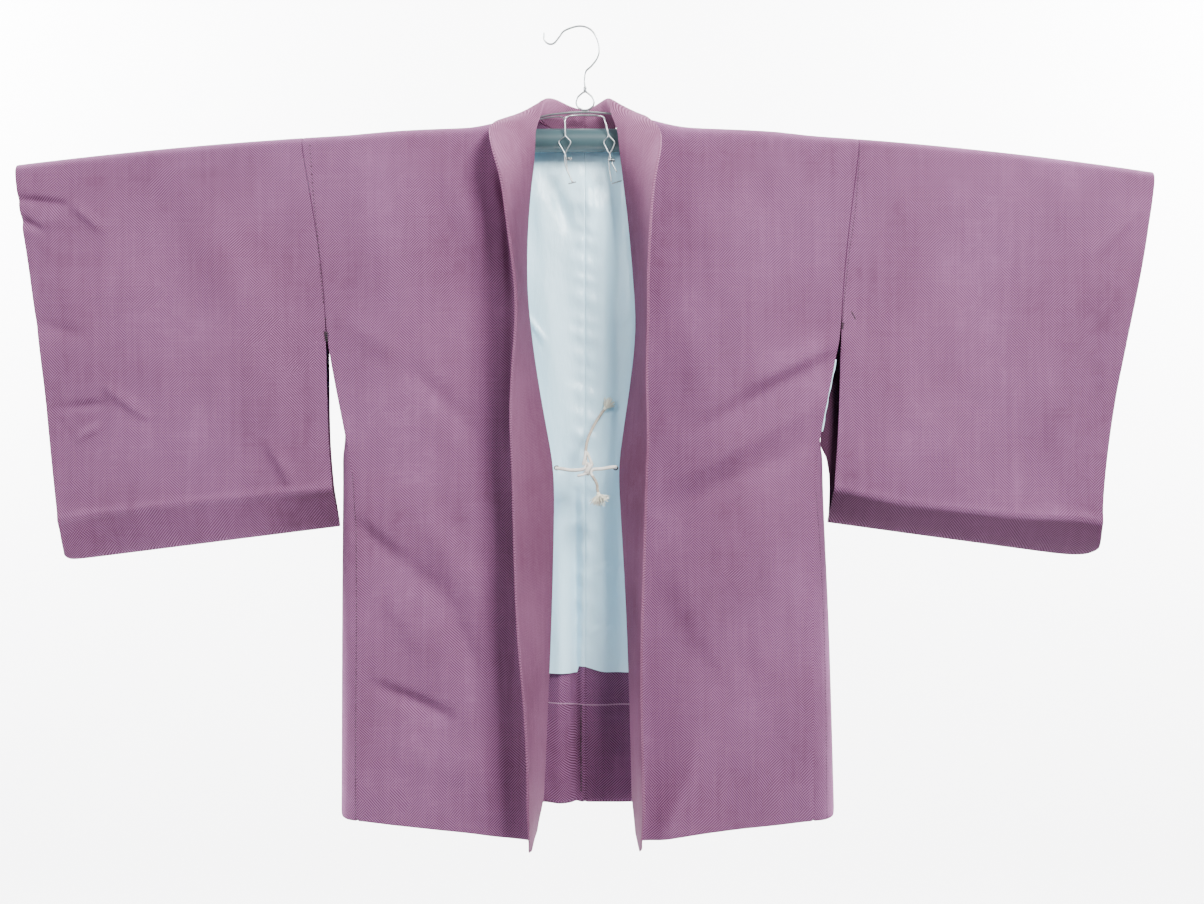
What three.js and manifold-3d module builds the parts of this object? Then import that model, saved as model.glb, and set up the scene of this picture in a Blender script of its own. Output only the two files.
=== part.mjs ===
// Women's haori jacket, hanging open on a telescopic kimono hanger.
// Millimetres, +Z up. The front of the garment faces -Y, where the viewer stands.
// Left and right are the viewer's: the wearer's right side is at -X.
// The origin is the underside of the hook, where a rail or a nail carries the hanger.
import * as THREE from 'three';
import Module from 'manifold-3d';
import { mergeVertices } from 'three/addons/utils/BufferGeometryUtils.js';

const wasm = await Module();
wasm.setup();

// Walls and seams
const SEAM_GAP = 0.3;
const TOUCH_GAP = 0.4;
const CLOTH_WALL = 2;
const COLLAR_WALL = 3;
const LINING_WALL = 1;
const FACING_WALL = 1;
const EDGE_GAP = 0.5;
const GUSSET_GAP = 0.9;
const COLLAR_SEAM_GAP = 1.1;

// Hanger bar: a centre tube and two thinner arms that slide in it and bow down
const BAR_Z = -126;
const CENTRE_RADIUS = 13;
const ARM_RADIUS = 10;
const CENTRE_HALF = 200;
const TUBE_STEP = 14;
const TUBE_STEP_FADE = 30;
const BAR_END = 622;
const BOW_RADIUS = { left: 5000, right: 4170 };
const BAR_CLEAR = 2.4;

// Garment sizes
const COLLAR_WIDTH = 66;
const COLLAR_FOLD_RADIUS = 2.4;
const COLLAR_SEAM_LINE = 4.5;
const COLLAR_DROP = 14;
const COLLAR_DROP_Z = -680;
const NECK_FADE = 62;
const NECK_RISE_FADE = 50;
const FOLD_FORWARD = 0.25;
const ARMHOLE_Z = -350;
const GUSSET_TOP_Z = -456;
const NECK_FRONT_Z = -124;
const NECK_BACK_Z = -123.8;
const FRONT_HEM = { inner: -893, side: -876 };
const BACK_HEM = { inner: -868, side: -864 };
const CUFF_DEPTH = 222;
const SLEEVE_CORNER = 17;
const SLEEVE_CREASE = 42;
const LINING_TOP = 0.006;
const CENTRE_SEAM_REACH = 1;

// Soft folds fade out towards a panel's edges (share of its width), under the bar (mm) and past
// their own ends (share of their length)
const EDGE_FADE = 1 / 8;
const CENTRE_FADE = 1 / 12;
const BAR_FADE = { start: 20, length: 60 };
const FOLD_END = 0.25;

const SIDE_SIGN = { left: -1, right: 1 };
const DEGREE = Math.PI / 180;

// Neck, from centre back over the shoulder to the top of the front: the seam that joins the
// collar to the body, the collar's fold, the way the turned-down half lies from there (x counts
// away from the centre line), and how far round the bar the row lies (degrees, front negative).
const NECK = {
  left: [
    { seam: [0, 19, -123], fold: [0, 21, -88], lie: [0, 0.08, -1], round: 90 },
    { seam: [22, 18, -119], fold: [19, 19, -84], lie: [0.2, 0.25, -1], round: 75 },
    { seam: [42, 13, -109], fold: [36, 12, -77], lie: [0.55, 0.45, -0.8], round: 48 },
    { seam: [57, 4, -98], fold: [48, 2, -78], lie: [0.85, 0.15, -0.5], round: 14 },
    { seam: [64, -7, -96], fold: [55, -8, -86], lie: [0.92, -0.05, -0.37], round: -24 },
    { seam: [65, -16, -106], fold: [57, -17, -100], lie: [0.85, -0.4, -0.35], round: -56 },
    { seam: [63, -21, -124], fold: [57, -22.5, -121], lie: [0.8, -0.58, -0.15], round: -90 },
  ],
  right: [
    { seam: [0, 19, -123], fold: [0, 21, -88], lie: [0, 0.08, -1], round: 90 },
    { seam: [19, 18, -119], fold: [15, 18, -83], lie: [0.2, 0.25, -1], round: 75 },
    { seam: [38, 13, -109], fold: [27, 10, -77], lie: [0.55, 0.45, -0.8], round: 48 },
    { seam: [49, 4, -98.5], fold: [32, 2, -79], lie: [0.88, 0.15, -0.42], round: 14 },
    { seam: [52, -7, -99], fold: [35, -8, -87], lie: [0.94, -0.05, -0.33], round: -24 },
    { seam: [50, -16, -109], fold: [37, -17, -101], lie: [0.85, -0.4, -0.35], round: -56 },
    { seam: [47, -21, -124], fold: [39, -22.5, -121], lie: [0.8, -0.58, -0.15], round: -90 },
  ],
};
const NECK_END_TURN = 36;

// Front opening, top to bottom: how far the collar's fold lies from the centre line, and how
// far the collar is turned from flat on the front (0) to pointing at the viewer (90).
const OPENING = {
  left: [
    { z: -150, x: 58, turn: 46 },
    { z: -180, x: 62, turn: 62 },
    { z: -230, x: 66, turn: 72 },
    { z: -290, x: 67, turn: 82 },
    { z: -345, x: 62, turn: 78 },
    { z: -400, x: 54, turn: 64 },
    { z: -450, x: 45, turn: 54 },
    { z: -493, x: 37, turn: 47 },
    { z: -560, x: 37, turn: 49 },
    { z: -680, x: 40, turn: 58 },
    { z: -750, x: 43, turn: 70 },
    { z: -820, x: 46, turn: 76 },
    { z: -893, x: 49, turn: 78 },
  ],
  right: [
    { z: -150, x: 42, turn: 46 },
    { z: -180, x: 46, turn: 60 },
    { z: -230, x: 52, turn: 70 },
    { z: -290, x: 57, turn: 78 },
    { z: -345, x: 60, turn: 80 },
    { z: -400, x: 53, turn: 76 },
    { z: -450, x: 46, turn: 66 },
    { z: -493, x: 40, turn: 62 },
    { z: -560, x: 44, turn: 68 },
    { z: -680, x: 50, turn: 78 },
    { z: -750, x: 52, turn: 80 },
    { z: -820, x: 54, turn: 80 },
    { z: -893, x: 55, turn: 79 },
  ],
};

// Body side edge below the armhole: the open side, then the seam with the gusset. The outline
// is how far the gusset reaches.
const SIDE = {
  left: [
    { z: -350, x: 288, outline: 288 },
    { z: -456, x: 267, outline: 272 },
    { z: -510, x: 257, outline: 272 },
    { z: -600, x: 254, outline: 273 },
    { z: -893, x: 252, outline: 274 },
  ],
  right: [
    { z: -350, x: 284, outline: 284 },
    { z: -456, x: 262, outline: 266 },
    { z: -510, x: 256, outline: 267 },
    { z: -560, x: 254, outline: 269 },
    { z: -660, x: 253, outline: 274 },
    { z: -893, x: 253, outline: 281 },
  ],
};

// Sleeve edges by height: the inner edge is the armhole seam down to the armhole's end and is
// open below it, and the cuff edge leans in.
const SLEEVE = {
  left: {
    inner: [
      { z: -136, x: 315 },
      { z: -268, x: 293 },
      { z: -350, x: 288 },
      { z: -461, x: 286 },
      { z: -557, x: 277 },
    ],
    cuff: [
      { z: -166, x: 634 },
      { z: -260, x: 621 },
      { z: -355, x: 608 },
      { z: -470, x: 599 },
      { z: -596, x: 586 },
    ],
    bottom: { inner: -557, cuff: -596 },
  },
  right: {
    inner: [
      { z: -136, x: 305 },
      { z: -268, x: 289 },
      { z: -350, x: 284 },
      { z: -430, x: 283 },
      { z: -553, x: 275 },
    ],
    cuff: [
      { z: -174, x: 634 },
      { z: -300, x: 615 },
      { z: -366, x: 601 },
      { z: -497, x: 583 },
      { z: -594, x: 576 },
    ],
    bottom: { inner: -553, cuff: -594 },
  },
};

// Half depths of the garment (mm from the bar's plane) by height
const FRONT_DEPTH = [
  { z: -124, inner: 21, side: 12 },
  { z: -290, inner: 23, side: 12.2 },
  { z: -350, inner: 24.5, side: 12.3 },
  { z: -456, inner: 28, side: 12.3 },
  { z: -560, inner: 32, side: 15 },
  { z: -720, inner: 38, side: 20 },
  { z: -893, inner: 47, side: 23 },
];
const BACK_DEPTH = [
  { z: -124, inner: 19, side: 14 },
  { z: -290, inner: 22, side: 13.5 },
  { z: -350, inner: 23, side: 13.5 },
  { z: -456, inner: 25, side: 13 },
  { z: -560, inner: 28, side: 16 },
  { z: -720, inner: 31, side: 20 },
  { z: -893, inner: 34, side: 23 },
];

// Soft folds: a ridge (depth above 0, towards the viewer) or trough along a line
const FRONT_FOLDS = {
  left: [
    { from: [96, -150], to: [84, -560], width: 13, depth: -5 },
    { from: [84, -560], to: [72, -893], width: 13, depth: -7 },
    { from: [225, -735], to: [150, -790], width: 22, depth: -4 },
    { from: [230, -560], to: [120, -660], width: 30, depth: 3 },
    { from: [190, -160], to: [205, -330], width: 24, depth: 3 },
  ],
  right: [
    { from: [275, -360], to: [70, -500], width: 24, depth: 6 },
    { from: [240, -430], to: [80, -560], width: 24, depth: -4 },
    { from: [150, -700], to: [90, -893], width: 24, depth: 5 },
    { from: [74, -560], to: [70, -893], width: 12, depth: -6 },
    { from: [150, -150], to: [190, -330], width: 24, depth: 3 },
  ],
};
const BACK_FOLDS = {
  left: [
    { from: [26, -640], to: [27, -900], width: 15, depth: 9 },
    { from: [120, -300], to: [190, -800], width: 30, depth: -5 },
    { from: [215, -420], to: [120, -620], width: 24, depth: 4 },
  ],
  right: [
    { from: [60, -260], to: [100, -860], width: 26, depth: -5 },
    { from: [150, -330], to: [200, -840], width: 28, depth: 5 },
    { from: [240, -470], to: [130, -600], width: 24, depth: -3 },
  ],
};

const COLUMNS = [0, 0.07, 0.15, 0.24, 0.36, 0.5, 0.64, 0.78, 0.9, 1];
const LOW_STEPS = [0, 0.1, 0.22, 0.36, 0.5, 0.62, 0.655, 0.752, 0.87, 1];
const LINING_LAST_STEP = 6;
const FACING_FIRST_STEP = 5;
const FACING_SEAM_STEP = 7;
const ARM_LEVELS = [-410, ARMHOLE_Z, -305, -262, -220, -178];

const COLOURS = {
  cloth: 0x98768f,
  collar: 0xa57a90,
  lining: 0xdde8ee,
  tie: 0xe9e2d6,
  tube: 0x84a09e,
  wire: 0xd3d6d8,
};

function finish(colour, roughness, metalness) {
  return new THREE.MeshStandardMaterial({ color: colour, roughness, metalness });
}

const CLOTH = finish(COLOURS.cloth, 0.85, 0);
const COLLAR_CLOTH = finish(COLOURS.collar, 0.8, 0);
const SATIN = finish(COLOURS.lining, 0.45, 0);
const CORD = finish(COLOURS.tie, 0.7, 0);
const TUBE = finish(COLOURS.tube, 0.45, 0);
const WIRE = finish(COLOURS.wire, 0.25, 1);

function lerp(a, b, t) {
  return a + (b - a) * t;
}

function smooth(t) {
  const held = Math.min(1, Math.max(0, t));
  return held * held * (3 - 2 * held);
}

// Value of a table's column at height z, on a smooth curve through its rows (top to bottom)
function atHeight(rows, z, column) {
  const last = rows.length - 1;
  if (z >= rows[0].z) return rows[0][column];
  if (z <= rows[last].z) return rows[last][column];
  let i = 0;
  while (rows[i + 1].z > z) i += 1;
  const slope = (k) => {
    const before = rows[Math.max(0, k - 1)];
    const after = rows[Math.min(last, k + 1)];
    return (after[column] - before[column]) / (after.z - before.z);
  };
  const span = rows[i + 1].z - rows[i].z;
  const t = (z - rows[i].z) / span;
  const rise = rows[i + 1][column] - rows[i][column];
  const bend = (1 - t) * (slope(i) * span - rise) - t * (slope(i + 1) * span - rise);
  return rows[i][column] + t * rise + t * (1 - t) * bend;
}

function barZ(side, x) {
  return BAR_Z - (x * x) / (2 * BOW_RADIUS[side]);
}

function shoulderX(side) {
  return SLEEVE[side].inner[0].x;
}

// How far the body's side edge lies from the centre line: it shares the armhole seam's line
function sideX(side, z) {
  return z >= ARMHOLE_Z ? atHeight(SLEEVE[side].inner, z, 'x') : atHeight(SIDE[side], z, 'x');
}

function barRadius(x) {
  return lerp(CENTRE_RADIUS, ARM_RADIUS, smooth((Math.abs(x) - CENTRE_HALF - TUBE_STEP) / TUBE_STEP_FADE));
}

// How far a point is pushed towards the viewer by a list of folds
function foldPush(folds, x, z) {
  let push = 0;
  for (const fold of folds) {
    const dx = fold.to[0] - fold.from[0];
    const dz = fold.to[1] - fold.from[1];
    const along = ((x - fold.from[0]) * dx + (z - fold.from[1]) * dz) / (dx * dx + dz * dz);
    const held = Math.min(1, Math.max(0, along));
    const off = Math.hypot(x - fold.from[0] - held * dx, z - fold.from[1] - held * dz);
    const ends = smooth(along / FOLD_END) * smooth((1 + FOLD_END - along) / FOLD_END);
    push += fold.depth * ends * Math.exp(-((off / fold.width) ** 2));
  }
  return push;
}

// A closed solid from two grids of points, outer and inner, with rims where the grid ends.
// A ring closes on itself along each row; a sheet is open on all four sides.
function wallFromSkins(outer, inner, ring) {
  const rows = outer.length;
  const columns = outer[0].length;
  const count = rows * columns;
  const position = [...outer.flat(), ...inner.flat()].flatMap((p) => [p.x, p.y, p.z]);
  const faces = [];
  const quad = (a, b, c, d) => faces.push(a, b, c, a, c, d);
  const spans = ring ? columns : columns - 1;
  const at = (i, j) => i * columns + (j % columns);
  for (let i = 0; i + 1 < rows; i += 1) {
    for (let j = 0; j < spans; j += 1) {
      quad(at(i, j), at(i, j + 1), at(i + 1, j + 1), at(i + 1, j));
      quad(count + at(i, j), count + at(i + 1, j), count + at(i + 1, j + 1), count + at(i, j + 1));
    }
  }
  for (let j = 0; j < spans; j += 1) {
    quad(at(0, j), count + at(0, j), count + at(0, j + 1), at(0, j + 1));
    const end = rows - 1;
    quad(at(end, j), at(end, j + 1), count + at(end, j + 1), count + at(end, j));
  }
  if (!ring) {
    for (let i = 0; i + 1 < rows; i += 1) {
      const end = columns - 1;
      quad(at(i, 0), at(i + 1, 0), count + at(i + 1, 0), count + at(i, 0));
      quad(at(i, end), count + at(i, end), count + at(i + 1, end), at(i + 1, end));
    }
  }
  const geometry = new THREE.BufferGeometry();
  geometry.setAttribute('position', new THREE.Float32BufferAttribute(position, 3));
  geometry.setIndex(faces);
  return facingOut(geometry);
}

function signedVolume(geometry) {
  const position = geometry.getAttribute('position');
  const index = geometry.getIndex();
  const a = new THREE.Vector3();
  const b = new THREE.Vector3();
  const c = new THREE.Vector3();
  let six = 0;
  for (let i = 0; i < index.count; i += 3) {
    a.fromBufferAttribute(position, index.getX(i));
    b.fromBufferAttribute(position, index.getX(i + 1));
    c.fromBufferAttribute(position, index.getX(i + 2));
    six += a.dot(b.cross(c));
  }
  return six / 6;
}

function facingOut(geometry) {
  if (signedVolume(geometry) < 0) {
    const index = Array.from(geometry.getIndex().array);
    for (let i = 0; i < index.length; i += 3) {
      [index[i + 1], index[i + 2]] = [index[i + 2], index[i + 1]];
    }
    geometry.setIndex(index);
  }
  geometry.computeVertexNormals();
  return geometry;
}

// Unit normals of a grid of points; a ring's rows close on themselves. Edges at the centre
// seam are cut square to it.
function gridNormals(grid, ring) {
  const rows = grid.length;
  const columns = grid[0].length;
  return grid.map((row, i) => row.map((_, j) => {
    const left = ring ? (j + columns - 1) % columns : Math.max(0, j - 1);
    const right = ring ? (j + 1) % columns : Math.min(columns - 1, j + 1);
    const across = row[right].clone().sub(row[left]);
    const down = grid[Math.min(rows - 1, i + 1)][j].clone().sub(grid[Math.max(0, i - 1)][j]);
    const normal = across.cross(down);
    if (Math.abs(row[j].x) < CENTRE_SEAM_REACH) normal.x = 0;
    return normal.normalize();
  }));
}

function clothWall(grid, thickness, ring = false) {
  const normals = gridNormals(grid, ring);
  const moved = (way) => grid.map((row, i) => row.map((point, j) => (
    point.clone().addScaledVector(normals[i][j], (way * thickness) / 2)
  )));
  return wallFromSkins(moved(1), moved(-1), ring);
}

function barFade(z) {
  return smooth((BAR_Z - BAR_FADE.start - z) / BAR_FADE.length);
}

// Body front, below the bar: u runs from the collar seam to the side, z is the side's height
function frontPoint(side, u, sideZ) {
  const topZ = barZ(side, shoulderX(side));
  const up = (sideZ - FRONT_HEM.side) / (topZ - FRONT_HEM.side);
  const innerZ = lerp(FRONT_HEM.inner, NECK_FRONT_Z, up);
  const z = lerp(innerZ, sideZ, u);
  const fold = openingFold(side, innerZ);
  const x = lerp(fold.x + fold.rise + COLLAR_SEAM_GAP, sideX(side, sideZ), u);
  const depth = lerp(atHeight(FRONT_DEPTH, z, 'inner'), atHeight(FRONT_DEPTH, z, 'side'), u);
  const calm = smooth(u / EDGE_FADE) * smooth((1 - u) / EDGE_FADE) * barFade(z);
  const push = foldPush(FRONT_FOLDS[side], x, z) * calm;
  return new THREE.Vector3(SIDE_SIGN[side] * x, -depth - push, z);
}

function backPoint(side, u, down) {
  const topZ = barZ(side, shoulderX(side));
  const z = lerp(lerp(NECK_BACK_Z, BACK_HEM.inner, down), lerp(topZ, BACK_HEM.side, down), u);
  const sideZ = lerp(topZ, BACK_HEM.side, down);
  const x = lerp(SEAM_GAP / 2, sideX(side, sideZ), u);
  const depth = lerp(atHeight(BACK_DEPTH, z, 'inner'), atHeight(BACK_DEPTH, z, 'side'), u);
  const calm = smooth(u / CENTRE_FADE) * smooth((1 - u) / EDGE_FADE) * barFade(z);
  const push = foldPush(BACK_FOLDS[side], x, z) * calm;
  return new THREE.Vector3(SIDE_SIGN[side] * x, depth - push, z);
}

function downOfBack(side, sideZ) {
  const topZ = barZ(side, shoulderX(side));
  return (sideZ - topZ) / (BACK_HEM.side - topZ);
}

// Over the bar: the row leaves the neck seam and settles on the bar towards the shoulder
function shoulderPoint(side, row, u) {
  const seam = new THREE.Vector3(...row.seam);
  const fold = new THREE.Vector3(...row.fold);
  const edge = seam.clone().addScaledVector(seam.clone().sub(fold).normalize(), COLLAR_SEAM_GAP);
  const angle = row.round * DEGREE;
  const over = (x, across) => {
    const front = lerp(FRONT_DEPTH[0].inner, FRONT_DEPTH[0].side, across);
    const back = lerp(BACK_DEPTH[0].inner, BACK_DEPTH[0].side, across);
    const depth = angle < 0 ? front : back;
    const rise = barRadius(x) + BAR_CLEAR;
    return new THREE.Vector3(x, depth * Math.sin(angle), barZ(side, x) + rise * Math.cos(angle));
  };
  const start = Math.max(edge.x, SEAM_GAP / 2);
  const x = lerp(start, shoulderX(side), u);
  const lift = edge.clone().sub(over(start, 0));
  const point = over(x, u).addScaledVector(lift, 1 - smooth((x - start) / NECK_FADE));
  point.x = SIDE_SIGN[side] * x;
  return point;
}

function sideLevels(hem) {
  const low = LOW_STEPS.map((step) => lerp(GUSSET_TOP_Z, hem, step)).reverse();
  return [...low, ...ARM_LEVELS];
}

function bodyPanel(side) {
  const front = sideLevels(FRONT_HEM.side).map((z) => COLUMNS.map((u) => frontPoint(side, u, z)));
  const over = NECK[side].slice().reverse();
  const shoulder = over.map((row) => COLUMNS.map((u) => shoulderPoint(side, row, u)));
  const back = sideLevels(BACK_HEM.side).reverse().map((z) => (
    COLUMNS.map((u) => backPoint(side, u, downOfBack(side, z)))
  ));
  return clothWall([...front, ...shoulder, ...back], CLOTH_WALL);
}

// Side gusset: a rounded strip that joins the front's side edge to the back's
const GUSSET_ANGLES = [-90, -62, -34, 0, 34, 62, 90];

function gusset(side) {
  const grid = LOW_STEPS.map((step) => {
    const frontZ = lerp(GUSSET_TOP_Z, FRONT_HEM.side, step);
    const backZ = lerp(GUSSET_TOP_Z, BACK_HEM.side, step);
    const edge = sideX(side, frontZ) + GUSSET_GAP;
    const reach = atHeight(SIDE[side], frontZ, 'outline') - edge;
    const front = -atHeight(FRONT_DEPTH, frontZ, 'side');
    const back = atHeight(BACK_DEPTH, backZ, 'side');
    return GUSSET_ANGLES.map((degrees) => {
      const angle = degrees * DEGREE;
      const across = (1 + Math.sin(angle)) / 2;
      const x = edge + reach * Math.cos(angle);
      return new THREE.Vector3(
        SIDE_SIGN[side] * x,
        lerp(front, back, across),
        lerp(frontZ, backZ, across),
      );
    });
  });
  return clothWall(grid, CLOTH_WALL);
}

// Sleeve: rings across the arm, hung over the bar, from the armhole seam to the cuff
const SLEEVE_STATIONS = [0, 0.1, 0.25, 0.4, 0.55, 0.7, 0.82, 0.91, 0.965, 0.99, 1];
const SLEEVE_LOW_LEVELS = [-405, -455, -490];
const SLEEVE_DEPTH = 9;
const SLEEVE_BOTTOM_RADIUS = 2.6;
const SLEEVE_LIP = 0.997;
const SLEEVE_CORNER_RISE = 0.75 * SLEEVE_CORNER;
const ARMHOLE_FADE = 1 / 4;
const SLEEVE_SHUT = CLOTH_WALL / 2 + SEAM_GAP;
const SLEEVE_SHUT_FADE = 90;
const CUFF_FADE = 26;

function sleeveHeights(side) {
  const top = barZ(side, shoulderX(side));
  const length = top - SLEEVE[side].bottom.inner;
  const levels = [...ARM_LEVELS.slice(1).reverse(), ...SLEEVE_LOW_LEVELS];
  const heights = levels.map((z) => (top - z) / length);
  return [...heights, 1 - SLEEVE_CREASE / length, 1 - SLEEVE_CREASE / length / 2];
}

function sleevePoint(side, s, down, facing) {
  const shape = SLEEVE[side];
  const topX = lerp(shape.inner[0].x, shape.cuff[0].x, s) + EDGE_GAP;
  const top = barZ(side, topX);
  const full = top - lerp(shape.bottom.inner, shape.bottom.cuff, s);
  const cuffLength = barZ(side, shape.cuff[0].x) - shape.bottom.cuff;
  const innerZ = lerp(barZ(side, shape.inner[0].x), shape.bottom.inner, down);
  const cuffZ = barZ(side, shape.cuff[0].x) - down * cuffLength;
  const x = lerp(atHeight(shape.inner, innerZ, 'x'), atHeight(shape.cuff, cuffZ, 'x'), s) + EDGE_GAP;
  const fromEdge = (1 - s) * (shape.cuff[0].x - shape.inner[0].x);
  const corner = Math.max(0, SLEEVE_CORNER - fromEdge);
  const round = SLEEVE_CORNER - Math.sqrt(SLEEVE_CORNER ** 2 - corner ** 2);
  const z = top - down * (full - Math.min(round, SLEEVE_CORNER_RISE));
  const topDepth = facing < 0 ? FRONT_DEPTH[0].side : BACK_DEPTH[0].side;
  const seamRows = facing < 0 ? FRONT_DEPTH : BACK_DEPTH;
  const seamDepth = atHeight(seamRows, Math.max(innerZ, ARMHOLE_Z), 'side');
  const crease = 1 - SLEEVE_CREASE / full;
  let depth = lerp(topDepth, SLEEVE_DEPTH, smooth(down / crease));
  if (innerZ >= ARMHOLE_Z) depth = lerp(seamDepth, depth, smooth(s / ARMHOLE_FADE));
  if (down > crease) depth = lerp(depth, SLEEVE_BOTTOM_RADIUS, (down - crease) / (1 - crease));
  const belowCuff = smooth((down * full - CUFF_DEPTH) / CUFF_FADE);
  const shut = smooth(1 - fromEdge / SLEEVE_SHUT_FADE) * belowCuff;
  return new THREE.Vector3(SIDE_SIGN[side] * x, facing * lerp(depth, SLEEVE_SHUT, shut), z);
}

function sleeve(side) {
  const heights = sleeveHeights(side);
  const rounds = NECK[side].map((row) => row.round);
  const grid = SLEEVE_STATIONS.map((s) => {
    const topX = lerp(shoulderX(side), SLEEVE[side].cuff[0].x, s) + EDGE_GAP;
    const over = rounds.map((degrees) => {
      const angle = degrees * DEGREE;
      const depth = angle < 0 ? FRONT_DEPTH[0].side : BACK_DEPTH[0].side;
      const rise = barRadius(topX) + BAR_CLEAR;
      return new THREE.Vector3(
        SIDE_SIGN[side] * topX,
        depth * Math.sin(angle),
        barZ(side, topX) + rise * Math.cos(angle),
      );
    });
    const front = heights.map((down) => sleevePoint(side, s, down, -1));
    const back = heights.map((down) => sleevePoint(side, s, down, 1)).reverse();
    const bottom = [[SLEEVE_LIP, -1], [1, -1], [SLEEVE_LIP, 1]].map(([down, facing]) => (
      sleevePoint(side, s, down, facing)
    ));
    bottom[1].y = 0;
    bottom[1].z -= SLEEVE_BOTTOM_RADIUS / 2;
    return [...over, ...front, ...bottom, ...back];
  });
  return clothWall(grid, CLOTH_WALL, true);
}

// Collar: one band round the neck and down both fronts, joined at the seam, folded outwards.
// Below the neck the fold runs beside the seam and the whole width stands off the front.
function openingFold(side, z) {
  const neckEnd = NECK[side][NECK[side].length - 1];
  const first = { z: neckEnd.fold[2], x: neckEnd.fold[0], turn: NECK_END_TURN };
  const rows = [first, ...OPENING[side]];
  const neckRise = neckEnd.seam[0] - neckEnd.fold[0];
  const rise = lerp(neckRise, COLLAR_SEAM_LINE, smooth((first.z - z) / NECK_RISE_FADE));
  return { x: atHeight(rows, z, 'x'), turn: atHeight(rows, z, 'turn'), rise };
}

const OPENING_STEPS = [
  -150, -175, -205, -245, -290, -335, -380, -425, -460, -493, -535, -600, -680, -750, -820, -893,
];

function collarHalf(side) {
  const neck = NECK[side].map((row) => ({
    seam: new THREE.Vector3(...row.seam),
    fold: new THREE.Vector3(...row.fold),
    lie: new THREE.Vector3(...row.lie).normalize(),
    drop: 0,
  }));
  const down = OPENING_STEPS.map((z) => {
    const fold = openingFold(side, z);
    const depth = atHeight(FRONT_DEPTH, z, 'inner');
    const turn = fold.turn * DEGREE;
    return {
      seam: new THREE.Vector3(fold.x + fold.rise, -depth, z),
      fold: new THREE.Vector3(fold.x, -depth - FOLD_FORWARD * fold.rise, z),
      lie: new THREE.Vector3(Math.cos(turn), -Math.sin(turn), 0),
      drop: COLLAR_DROP * smooth((COLLAR_DROP_Z - z) / (COLLAR_DROP_Z - FRONT_HEM.inner)),
    };
  });
  return [...neck, ...down];
}

const FOLD_STEPS = [0.33, 0.67, 1];
const BAND_STEPS = [0.25, 0.5, 0.75, 1];

function collarRow({ seam, fold, lie, drop }, sign) {
  const rise = fold.clone().sub(seam);
  const band = COLLAR_WIDTH - rise.length();
  const up = rise.normalize();
  const sweep = Math.acos(up.dot(lie));
  const out = lie.clone().addScaledVector(up, -up.dot(lie)).normalize();
  const round = (t) => fold.clone()
    .addScaledVector(up, COLLAR_FOLD_RADIUS * Math.sin(t * sweep))
    .addScaledVector(out, COLLAR_FOLD_RADIUS * (1 - Math.cos(t * sweep)));
  const points = [seam, seam.clone().lerp(fold, 0.5), fold.clone()];
  points.push(...FOLD_STEPS.map((t) => round(t)));
  points.push(...BAND_STEPS.map((t) => {
    const point = round(1).addScaledVector(lie, band * t);
    point.z -= drop * t;
    return point;
  }));
  return points.map((point) => new THREE.Vector3(sign * point.x, point.y, point.z));
}

function collar() {
  const left = collarHalf('left');
  const right = collarHalf('right');
  const leftRows = left.map((row) => collarRow(row, SIDE_SIGN.left)).reverse();
  const rightRows = right.map((row) => collarRow(row, SIDE_SIGN.right));
  return clothWall([...leftRows, ...rightRows.slice(1)], COLLAR_WALL);
}

// Inside of the back: the turned-up facing lies on the panel, the lining hangs over it. Both
// follow the panel's own rows and columns.
const LINING_EDGE = 0.985;
const PANEL_OFFSET = CLOTH_WALL / 2 + TOUCH_GAP;
const LINING_PUFF = 4;
const LINING_PUFF_REACH = 1 / 3;
const LINING_OVERLAP_GAP = 0.9;
const FACING_HEM = 0.997;
const FACING_SEAM_RIDGE = 0.8;

function insidePoint(side, u, down, offset) {
  const point = backPoint(side, Math.min(u, LINING_EDGE), down);
  point.y -= offset;
  return point;
}

function backDowns(side) {
  return sideLevels(BACK_HEM.side).reverse().map((z) => downOfBack(side, z));
}

function lining(side) {
  const lie = PANEL_OFFSET + LINING_WALL / 2;
  const over = lie + FACING_WALL + LINING_OVERLAP_GAP;
  const downs = backDowns(side).slice(0, ARM_LEVELS.length + LINING_LAST_STEP + 1);
  const last = downs.length - 1;
  const grid = [LINING_TOP, ...downs].map((down, row) => {
    const fromBottom = last + 1 - row;
    const offset = fromBottom < 2 ? over : lie;
    const puff = fromBottom === 0 ? LINING_PUFF : 0;
    return COLUMNS.map((u) => {
      const swell = puff * Math.sin(Math.PI * Math.min(1, u / LINING_PUFF_REACH)) ** 2;
      return insidePoint(side, u, down, offset + swell);
    });
  });
  return clothWall(grid, LINING_WALL);
}

function facing(side) {
  const lie = PANEL_OFFSET + FACING_WALL / 2;
  const downs = backDowns(side).slice(ARM_LEVELS.length + FACING_FIRST_STEP);
  const seamRow = FACING_SEAM_STEP - FACING_FIRST_STEP;
  const grid = downs.map((down, row) => {
    const ridge = row === seamRow ? FACING_SEAM_RIDGE : 0;
    return COLUMNS.map((u) => insidePoint(side, u, Math.min(down, FACING_HEM), lie + ridge));
  });
  return clothWall(grid, FACING_WALL);
}

// Wires, tubes and cords: a round section pushed along a route
const BALL_AROUND = 9;
const BALL_DOWN = 6;

function roundSection(radius, sides) {
  const points = [];
  for (let i = 0; i < sides; i += 1) {
    const angle = (2 * Math.PI * i) / sides;
    points.push(new THREE.Vector2(radius * Math.cos(angle), radius * Math.sin(angle)));
  }
  return new THREE.Shape(points);
}

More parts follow.
